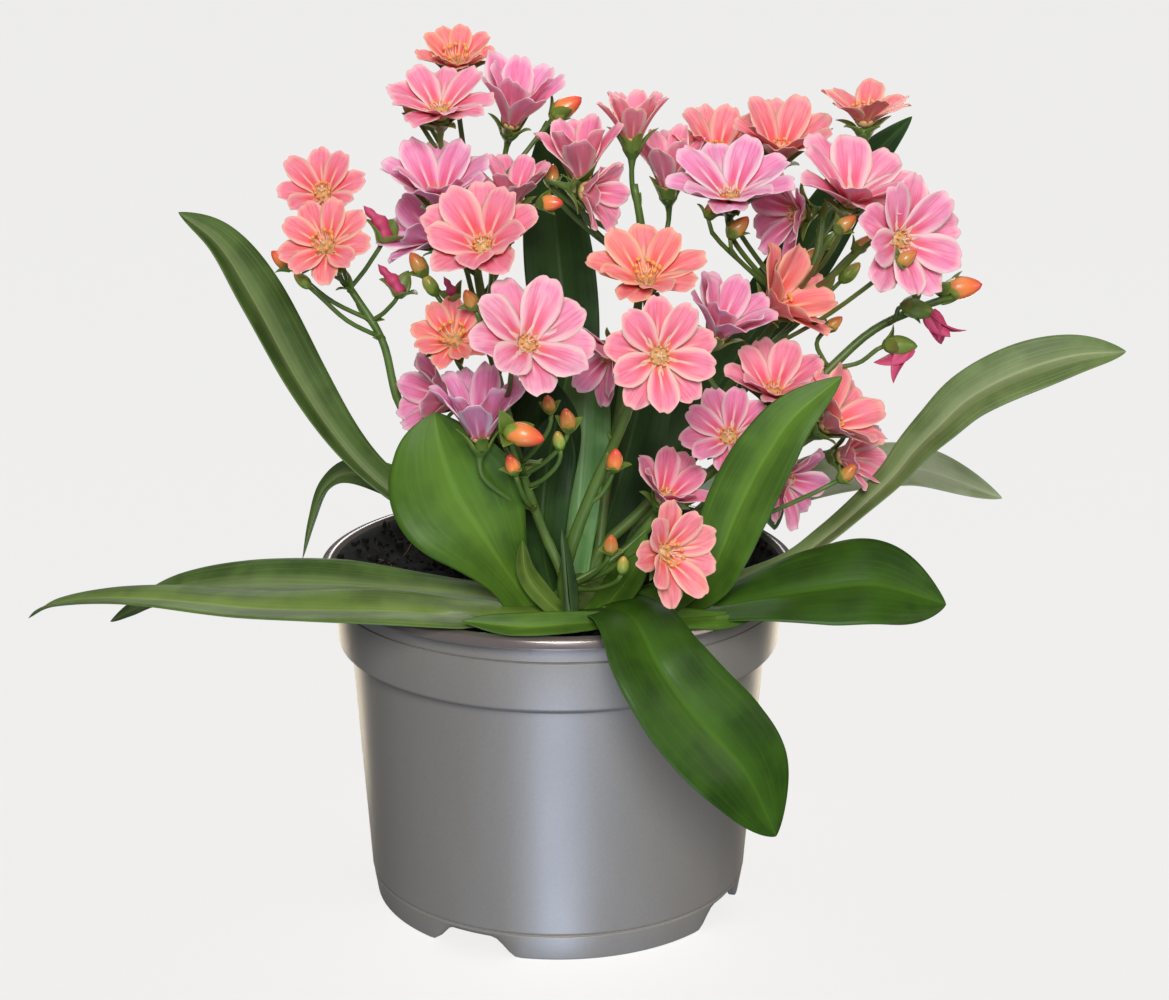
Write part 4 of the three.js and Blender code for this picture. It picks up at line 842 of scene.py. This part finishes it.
LIMP_PETALS = 4
LIMP_HALF_WIDTH = 2.2
LIMP_OPENING = 0.12


def facing(turn, tilt):
    """The direction of a bloom's axis: (sin turn cos tilt, -cos turn cos tilt, sin tilt)."""
    turn, tilt = np.radians(turn), np.radians(tilt)
    return np.array([np.sin(turn) * np.cos(tilt), -np.cos(turn) * np.cos(tilt), np.sin(tilt)])


def round_of(axis, angles):
    """The directions square to an axis at angles round it: cos a level + sin a (axis x level), where level is
    square to the axis and lies flat."""
    level = unit([-axis[1], axis[0], 0])
    angles = np.asarray(angles)[..., None]
    return level * np.cos(angles) + np.cross(axis, level) * np.sin(angles)


def ray(foot, axis, out, opening, bend, length, half, rise, thick, t, u):
    """The faces of a petal, sepal or bract. It leaves its foot at an angle opening to the axis and bends on
    outwards: with a = opening + bend t, it goes out by (cos opening - cos a) length / bend and up by
    (sin a - sin opening) length / bend. half is its half-width, and rise how far it stands off that line."""
    a = opening + bend * t
    away = (np.cos(opening) - np.cos(a)) * length / bend
    high = (np.sin(a) - np.sin(opening)) * length / bend
    side = np.cross(out, axis)
    normal = axis * np.sin(a)[..., None] - out * np.cos(a)[..., None]
    top = foot + out * away[..., None] + axis * high[..., None] + side * (u * half)[..., None]
    top = top + normal * rise[..., None]
    return top, top - normal * thick[..., None]


def sepal(foot, axis, out, opening, length, half_width, seed, finish=CALYX):
    """A pointed sepal, bract or withered petal, hollow towards the axis: its half-width is that of a boat,
    sin(pi s^0.7)^0.8, with s from 0.12 at its foot to 1 at its tip."""
    u, t = np.meshgrid(np.linspace(-1, 1, SEPAL_COLS), np.linspace(0, 1, SEPAL_ROWS))
    s = SEPAL_FOOT + (1 - SEPAL_FOOT) * t
    half = half_width * np.clip(np.sin(np.pi * s ** 0.7), 0, 1) ** 0.8
    bend = SEPAL_BEND + 0.5 * jitter(seed)
    rise = half * SEPAL_HOLLOW * u * u
    thick = SEPAL_EDGE + SEPAL_RIB * (1 - u * u) * (1 - t)
    top, under = ray(foot, axis, out, opening, bend, length, half, rise, thick, t, u)
    return skin(top, under, t[:, 0], finish, draw=float(jitter(seed + 3)))


def pedicel_line(path, end, way):
    """A pedicel's line. It starts from the nearest place on the scape that is clearly lower than its end:
    each place costs its distance and three times what it is too high by. It ends straight, along the way."""
    before = end - way * PEDICEL_END_RUN
    starts, _ = at(path, np.arange(2, 21) / 20)
    away = np.hypot(starts[:, 0] - before[0], starts[:, 1] - before[1])
    too_high = np.clip(starts[:, 2] - (before[2] - 2 * PEDICEL_SAG - PEDICEL_RISE * away), 0, None)
    start = starts[np.argmin(np.linalg.norm(starts - before, axis=1) + 3 * too_high)]
    middle = start * 0.45 + before * 0.55 - np.array([0, 0, PEDICEL_SAG])
    return curve_through([start, middle, before, end])


def length_of(curve):
    """The length of a curve given by its points."""
    return np.linalg.norm(np.diff(curve, axis=0), axis=1).sum()


def bract_at(line, seed):
    """A bract under the start of a pedicel, on its outer side."""
    start, way = at(line, [0.0])
    axis = unit(way[0] + np.array([0, 0, 0.5]))
    out = round_of(axis, 2 * np.pi * jitter(seed))
    length = BRACT_LENGTH * (0.6 + 0.8 * jitter(seed + 1))
    return sepal(start[0] - axis, axis, out, BRACT_OPENING, length, BRACT_HALF_WIDTH, seed)


def calyx_parts(path, bloom, number):
    """The pedicel of a bloom, which widens into its calyx, and the sepals that hold its petals."""
    _, place, turn, tilt, _, opening, _, _, _ = bloom
    axis = facing(turn, tilt)
    end = seen(place) - axis * PEDICEL_GAP
    line = pedicel_line(path, end, axis)
    length = length_of(line)
    stem = np.linspace(0, length - CALYX_LENGTH, STEM_RINGS + 1)[:-1]
    shares, radii = np.array(CALYX_PROFILE).T
    cup = np.linspace(0, 1, CUP_RINGS)
    rings = np.concatenate([stem, length - CALYX_LENGTH * (1 - cup)]) / length
    radius = np.concatenate([np.full(STEM_RINGS, PEDICEL_RADIUS), np.interp(cup, shares, radii)])
    parts = [rod(line, rings, radius, CALYX_SIDES, STALK)]
    turns = 2 * np.pi * (np.arange(SEPALS) + 0.3 * jitter(number * 7 + np.arange(SEPALS))) / SEPALS
    for k, out in enumerate(round_of(axis, turns)):
        foot = end + out * SEPAL_RING - axis * SEPAL_LOW
        long = SEPAL_LENGTH * (0.8 + 0.35 * jitter(number + k))
        parts.append(sepal(
            foot, axis, out, np.radians(opening) * 0.75, long, SEPAL_HALF_WIDTH, number * 11 + k))
    parts.append(bract_at(line, number * 3))
    return parts


def bud_parts(path, seed, place, size, kind, way=None):
    """A bud on its pedicel: a turned drop, with the radius sin(pi s^0.85)^0.62 of its length's share s and a
    spiral of shallow furrows. A withered flower is a thin wrung drop, or a green calyx with limp petals that
    fall on ahead or turn back."""
    centre = seen(place)
    lean = unit(way or centre - np.array([CROWN_PLACE[0], CROWN_PLACE[1], centre[2] - CROWN_SPREAD]))
    end = centre + lean * BUD_LENGTH / 2 * size
    line = pedicel_line(path, end, lean)
    length = length_of(line)
    bud = BUD_LENGTH * size
    stem = np.linspace(0, length - bud, BUD_STEM_RINGS)
    girth = np.full(BUD_STEM_RINGS, PEDICEL_RADIUS * 0.9)
    parts = [rod(line, stem / length, girth, PEDICEL_SIDES, STALK)]
    s = np.linspace(0, 1, BUD_ROWS)
    radius = BUD_RADIUS * size * np.clip(np.sin(np.pi * (0.04 + 0.96 * s) ** 0.85), 0, 1) ** 0.62
    if kind == "withered":
        radius = radius * (0.75 - 0.35 * s) * (1 + 0.25 * np.sin(19 * s + seed))
    drop = rod(line, (length - bud + bud * s) / length, radius, BUD_SIDES, BUD_FINISH[kind])
    points = drop[0].reshape(-1, BUD_SIDES, 3)
    middle = points.mean(1, keepdims=True)
    a = np.linspace(0, 2 * np.pi, BUD_SIDES, endpoint=False)[None, :, None]
    wind = 3 * np.linspace(0, 1, len(points))[:, None, None]
    furrow = 1 + FURROW_DEPTH * np.sin(BUD_FURROWS * a + wind)
    parts.append(((middle + (points - middle) * furrow).reshape(-1, 3), *drop[1:]))
    parts.append(bract_at(line, seed))
    if kind != "green":
        centre, way = at(line, [(length - bud * 0.95) / length])
        for k, out in enumerate(round_of(way[0], 2 * np.pi * np.arange(BUD_SEPALS) / BUD_SEPALS + seed)):
            foot = centre[0] + out * 0.9 * size
            parts.append(sepal(foot, way[0], out, 0.5, bud * 0.62, BUD_SEPAL_HALF_WIDTH * size, seed + k))
    if kind in LIMP:
        fall = unit(LIMP[kind] * lean - np.array([0, 0, 0.8]))
        foot = end - lean * bud * 0.2
        for k, out in enumerate(round_of(fall, 2 * np.pi * np.arange(LIMP_PETALS) / LIMP_PETALS + 1)):
            long = bud * (0.9 + 0.4 * jitter(seed + k))
            parts.append(sepal(
                foot, fall, out, LIMP_OPENING, long, LIMP_HALF_WIDTH * size, seed + k, WITHERED))
    return parts


def stalk_finish(name, low, high, blush, **sockets):
    """Smooth green skin, clouded between two greens every 8 mm, with a reddish blush in patches 18 mm apart.
    Its cells of less than 0.1 mm are drawn 1.1 mm wide, so that they show as they break up the gloss."""
    material, tree, shader = material_of(name, {
        "Roughness": 0.45, "Subsurface Weight": 0.08, "Subsurface Scale": 0.001, **sockets})
    place = add(tree, "TexCoord", {}, {}, "Object")
    cloud = add(tree, "TexNoise", {}, {"Vector": place, "Scale": 120.0, "Detail": 3.0})
    flush = add(tree, "TexNoise", {}, {"Vector": place, "Scale": 55.0, "Detail": 2.0})
    cells = add(tree, "TexNoise", {}, {"Vector": place, "Scale": 900.0})
    mask = add(tree, "MapRange", SMOOTH, {0: flush, 1: 0.6, 2: 0.8})
    tint = add(tree, "Mix", COLOUR, {0: cloud, 6: low, 7: high}, 2)
    feed(shader, {
        "Base Color": add(tree, "Mix", COLOUR, {0: mask, 6: tint, 7: blush}, 2),
        "Normal": add(tree, "Bump", {}, {"Height": cells, "Strength": 0.15, "Distance": 0.0003})})
    return material


def bud_finish(name, calyx, flesh, tip):
    """A bud's skin: the green calyx covers its lower part in three pointed lobes, and above it the furled
    petals show, flushed towards the tip."""
    material, tree, shader = material_of(name, {
        "Roughness": 0.35, "Subsurface Weight": 0.15, "Subsurface Scale": 0.0015, "Coat Weight": 0.1})
    round_it, along, _ = add(tree, "SeparateXYZ", {}, {
        0: add(tree, "TexCoord", {}, {}, "UV")}).node.outputs
    lobe = add(tree, "Math", {"operation": "SINE"}, {
        0: add(tree, "Math", {"operation": "MULTIPLY"}, {0: round_it, 1: BUD_SEPALS * 2 * np.pi})})
    level = add(tree, "Math", {"operation": "MULTIPLY_ADD"}, {0: lobe, 1: 0.07, 2: along})
    green = add(tree, "MapRange", SMOOTH, {0: level, 1: 0.36, 2: 0.3})
    flush = add(tree, "MapRange", SMOOTH, {0: along, 1: 0.45, 2: 0.95})
    tint = add(tree, "Mix", COLOUR, {0: flush, 6: flesh, 7: tip}, 2)
    feed(shader, {"Base Color": add(tree, "Mix", COLOUR, {0: green, 6: tint, 7: calyx}, 2)})
    return material


stalk_skins = [
    stalk_finish("fleshy_green_stalk", "#36541a", "#66823a", "#735c32"),
    stalk_finish("calyx_green", "#466a1e", "#7e9440", "#8c5e30"),
    bud_finish("orange_bud", "#869a3c", "#f2904c", "#ea523c"),
    bud_finish("young_green_bud", "#6f9032", "#94aa48", "#c9a850"),
    stalk_finish("withered_petal", "#a82a50", "#d4507c", "#7c1e40", Roughness=0.6),
    bud_finish("tan_bud", "#74863a", "#c49048", "#cc6634"),
]
paths = {name: curve_through(seen(line)) for name, _, line, _ in SCAPES}
feet = {name: (radius, buds) for name, radius, _, buds in SCAPES}
for names in STALKS:
    parts = []
    for name in names:
        radius, buds = feet[name]
        share = np.linspace(0, 1, SCAPE_RINGS)
        knobs = 1 + KNOB_SIZE * np.exp(-((share * SCAPE_KNOBS % 1 - 0.5) / KNOB_WIDTH) ** 2)
        girth = (radius + (SCAPE_TIP_RADIUS - radius) * share) * knobs
        parts.append(rod(paths[name], share, girth, SCAPE_SIDES, STALK))
        for number, bloom in enumerate(BLOOMS, 1):
            if bloom[0] == name:
                parts.extend(calyx_parts(paths[name], bloom, number))
        for k, bud in enumerate(buds):
            parts.extend(bud_parts(paths[name], 100 + 13 * k + len(name), *bud))
    stalk = made_of(f"scapes_{names[0]}", parts, stalk_skins)
    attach(stalk, "root")
    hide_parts(f"stalk_{names[0]}")

# The blooms. Eight or nine satin petals in two whorls on a small green throat, with orange anthers on pale
# filaments round the style. Each bloom sits in its calyx and opens outwards.
PETAL_BEND = 0.35
PETAL_SPREAD = 0.12
WHORL_STEP = 0.11
THROAT_RADIUS = 2.2
THROAT_DEPTH = 1.6
PETAL_HALF_SHARE = 0.32
PETAL_OVERLAP = 1.4
PETAL_BASE_SHARE = 0.42
PETAL_ROUNDING = 0.3
PETAL_THICKNESS = 0.34
PETAL_HOLLOW = 0.26
PETAL_FOLD = 0.1
PETAL_RIB = 0.018
PETAL_RUFFLE = 0.12
PETAL_CRIMP = 0.06
PETAL_NOTCH = 0.035
PETAL_NOTCH_WIDTH = 0.16
PETAL_FOLD_WIDTH = 0.14
PETAL_WIDENS = (-0.1, 0.78)
PETAL_CROWDING = 1.25
RIPE_FROM = 0.6
PETAL_ROWS = 18
PETAL_COLS = 13
THROAT_PROFILE = ((0, 0), (1.6, 0.1), (2.3, 1.0), (2.4, 1.7), (1.9, 2.1), (1.1, 2.5), (0.6, 2.9), (0, 3.0))
THROAT_SIDES = 14
STAMENS = 9
STAMEN_RING = 1.1
STAMEN_LENGTH = 1.4
STYLES = 4
STYLE_LENGTH = 1.6
STYLE_SPREAD = 0.9
FILAMENT_RADII = (0.2, 0.16, 0.14, 0.12)
ANTHER_RADII = (0.2, 0.42, 0.46, 0.42, 0.2)
STYLE_RADII = (0.25, 0.2, 0.16, 0.1)
THREAD_SIDES = 5
ANTHER_SIDES = 6
PETAL, THROAT, FILAMENT, ANTHER = range(4)


def petal_part(foot, axis, out, opening, length, half_width, seed, tone, pale):
    """A petal. Its half-width grows by a smooth step from its foot to three quarters of its length, and its
    length falls by 0.3 |u|^2.3 towards its sides, which rounds its tip, with a shallow notch there. It is
    hollow across, with a soft fold along the middle, a few shallow ribs, and ruffles that grow outwards."""
    rows = 1 - (1 - np.linspace(0, 1, PETAL_ROWS)) ** PETAL_CROWDING
    u, t = np.meshgrid(np.linspace(-1, 1, PETAL_COLS), rows)
    draws = jitter(seed * 3 + np.arange(4))
    off_notch = (u - 0.3 * (draws[1] - 0.5)) / PETAL_NOTCH_WIDTH
    notch = PETAL_NOTCH * (1 + draws[0]) * np.exp(-off_notch ** 2)
    reach = t * (1 - PETAL_ROUNDING * np.abs(u) ** 2.3 - notch * t ** 4)
    half = half_width * (PETAL_BASE_SHARE + (1 - PETAL_BASE_SHARE) * smooth_step(t, *PETAL_WIDENS))
    fold = PETAL_FOLD * np.exp(-(u / PETAL_FOLD_WIDTH) ** 2) * (1 - t)
    hollow = PETAL_HOLLOW * u * u * (1 - 0.5 * t) - fold
    ribs = PETAL_RIB * np.cos(5 * np.pi * u) * np.sin(np.pi * t)
    ruffle = PETAL_RUFFLE * t ** 2 * np.sin(4.2 * u + 6 * draws[2])
    ruffle = ruffle + PETAL_CRIMP * t ** 4 * np.sin(9 * u + 6 * draws[3])
    rise = half_width * (hollow + ribs + ruffle)
    thick = PETAL_THICKNESS * (0.45 + 0.55 * (1 - u * u)) * (1 - 0.6 * t ** 3)
    top, under = ray(foot, axis, out, opening, PETAL_BEND, length, half, rise, thick, reach, u)
    return skin(top, under, t[:, 0], PETAL, draw=float(jitter(seed)), tone=tone, pale=pale)


def thread(foot, tip, bow, radii):
    """A filament or a style: a thin rod from its foot to its tip, bowed by a step at its middle."""
    line = curve_through([foot, (foot + tip) / 2 + bow, tip])
    return rod(line, np.linspace(0, 1, len(radii)), radii, THREAD_SIDES, FILAMENT)


def bloom_parts(number, bloom):
    """The petals, throat, stamens and styles of a bloom. The riper it is, the longer its stamens are."""
    _, place, turn, tilt, petal, opening, count, tone, pale = bloom
    axis = facing(turn, tilt)
    base = seen(place)
    rim = base + axis * THROAT_DEPTH
    sector = 2 * np.pi / count
    parts = []
    spread = THROAT_RADIUS + 0.7 * petal * np.sin(np.radians(opening))
    half_width = min(PETAL_HALF_SHARE * petal, PETAL_OVERLAP * spread * np.tan(sector / 2))
    for k in range(count):
        seed = number * 17 + k
        turn_draw, open_draw, length_draw = PETAL_SPREAD * (jitter(seed + np.array([0, 5, 9])) - 0.5)
        out = round_of(axis, jitter(number) * sector + k * sector + turn_draw)
        whorl = WHORL_STEP if k % 2 == 0 else -WHORL_STEP
        tilted = np.radians(opening) - PETAL_BEND / 2 + whorl + open_draw
        foot = rim + out * THROAT_RADIUS * 0.8
        long = petal * (1 + length_draw) + 0.4
        parts.append(petal_part(foot, axis, out, tilted, long, half_width, seed, tone, pale))
    axes = np.stack([*round_of(axis, [0, np.pi / 2]), axis])
    parts.append(turned(base + revolved(THROAT_PROFILE, THROAT_SIDES) @ axes, THROAT))
    ripe = smooth_step(tone, RIPE_FROM, 1)
    turns = 2 * np.pi * (np.arange(STAMENS) + 0.5 * jitter(number + np.arange(STAMENS))) / STAMENS
    for k, out in enumerate(round_of(axis, turns)):
        lean = (0.2 + 0.25 * jitter(number * 5 + k)) * (0.5 + opening / 90)
        long = STAMEN_LENGTH + 2.6 * ripe + 0.8 * jitter(number * 9 + k)
        foot = rim + out * STAMEN_RING
        tip = foot + (axis * np.cos(lean) + out * np.sin(lean)) * long
        parts.append(thread(foot, tip, out * 0.3, FILAMENT_RADII))
        span = unit(axis * 0.5 + np.cross(axis, out)) * (0.35 + 0.3 * ripe)
        radii = np.array(ANTHER_RADII) * (0.7 + 0.4 * ripe)
        line = np.stack([tip - span, tip, tip + span])
        parts.append(rod(line, np.linspace(0, 1, len(radii)), radii, ANTHER_SIDES, ANTHER))
    for out in round_of(axis, 2 * np.pi / STYLES * np.arange(STYLES)):
        foot = rim + axis
        tip = foot + axis * (STYLE_LENGTH + 1.2 * ripe) + out * STYLE_SPREAD
        parts.append(thread(foot, tip, out * -0.2, STYLE_RADII))
    return parts


# Petals: satin and slightly translucent, which gives a soft sheen and a glow at thin edges. From lilac pink
# to salmon, with a pale edge, a cream stripe up the middle between deep red ones that fade outwards, veins a
# twentieth of the petal wide, blotches every 6 mm, and a deeper pink back.
petal_skin, tree, shader = material_of("satin_petal", {
    "Roughness": 0.55, "Subsurface Weight": 0.2, "Subsurface Scale": 0.0015,
    "Subsurface Radius": (1.0, 0.4, 0.45), "Sheen Weight": 0.06, "Sheen Roughness": 0.4,
    "Specular IOR Level": 0.2})
across, along, _ = add(tree, "SeparateXYZ", {}, {
    0: add(tree, "TexCoord", {}, {}, "UV")}).node.outputs
marks = {key: add(tree, "Attribute", {"attribute_name": key}, {}, "Fac")
         for key in ("tone", "pale", "draw", "under")}
off_middle = add(tree, "Math", {"operation": "ABSOLUTE"}, {
    0: add(tree, "Math", {"operation": "MULTIPLY_ADD"}, {0: across, 1: 2.0, 2: -1.0})})
to_edge = add(tree, "Math", {"operation": "MAXIMUM"}, {0: off_middle, 1: along})
drawn_out = add(tree, "Math", {"operation": "MULTIPLY"}, {0: along, 1: 0.1})
stretched = add(tree, "CombineXYZ", {}, {0: across, 1: drawn_out, 2: marks["draw"]})
vein = add(tree, "TexNoise", {}, {"Vector": stretched, "Scale": 20.0, "Detail": 3.0})
blotch = add(tree, "TexNoise", {}, {
    "Vector": add(tree, "TexCoord", {}, {}, "Object"), "Scale": 160.0, "Detail": 2.0})
masks = {"under": marks["under"], "pale": marks["pale"]}
for key, value, low, high in (
    # mask, what it is read from, and where that is 0 and where it is 1
    ("veins", vein, 0.46, 0.64), ("blotch", blotch, 0.35, 0.6), ("inner", off_middle, 0.06, 0.18),
    ("outer", off_middle, 0.8, 0.45), ("low", along, 0.8, 0.15), ("base", along, 0.3, 0.05),
    ("middle", off_middle, 0.14, 0.03), ("short", along, 0.7, 0.3), ("side", off_middle, 0.62, 0.92),
    ("rim", to_edge, 0.84, 0.99),
):
    masks[key] = add(tree, "MapRange", SMOOTH, {0: value, 1: low, 2: high})
for key, first, second in (
    ("flank", "inner", "outer"), ("flank", "flank", "low"), ("stripe", "middle", "short"),
):
    masks[key] = add(tree, "Math", {"operation": "MULTIPLY"}, {0: masks[first], 1: masks[second]})
tint = add(tree, "Mix", COLOUR, {0: marks["tone"], 6: "#ea92c6", 7: "#f68e88"}, 2)
for key, amount, lilac, salmon in (
    # mask, how strong its colour is there, and the colour on a lilac and on a salmon petal
    ("pale", 0.6, "#f6cede", "#f8ccb6"), ("blotch", 0.5, "#f27fb4", "#f8849c"),
    ("veins", 0.45, "#da5a9a", "#ee5c50"), ("flank", 0.75, "#dc4678", "#ee4e3c"),
    ("base", 0.7, "#e88068", "#f08c3c"), ("stripe", 0.7, "#fbdfe2", "#fbcea0"),
    ("under", 0.5, "#dc7c9c", "#e87c68"), ("side", 0.7, "#f8dce2", "#f8bc98"),
    ("rim", 0.5, "#fae4ea", "#f8c09a"),
):
    layer = add(tree, "Mix", COLOUR, {0: marks["tone"], 6: lilac, 7: salmon}, 2)
    weight = add(tree, "Math", {"operation": "MULTIPLY"}, {0: masks[key], 1: amount})
    tint = add(tree, "Mix", COLOUR, {0: weight, 6: tint, 7: layer}, 2)
relief = add(tree, "Bump", {}, {"Height": vein, "Strength": 0.35, "Distance": 0.0003})
feed(shader, {"Base Color": tint, "Normal": relief})
flower_skins = [
    petal_skin,
    stalk_finish("green_throat", "#b8ae6a", "#d8a070", "#cc8a58"),
    stalk_finish("pale_filament", "#f3d5b4", "#f7c3a4", "#f0aa88"),
    stalk_finish("orange_anther", "#e6944a", "#f0ac5c", "#d67438", Roughness=0.7),
]
for number, bloom in enumerate(BLOOMS, 1):
    flower = made_of(f"flower_{number:02d}", bloom_parts(number, bloom), flower_skins)
    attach(flower, "root")
    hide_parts(f"bloom_{number:02d}")
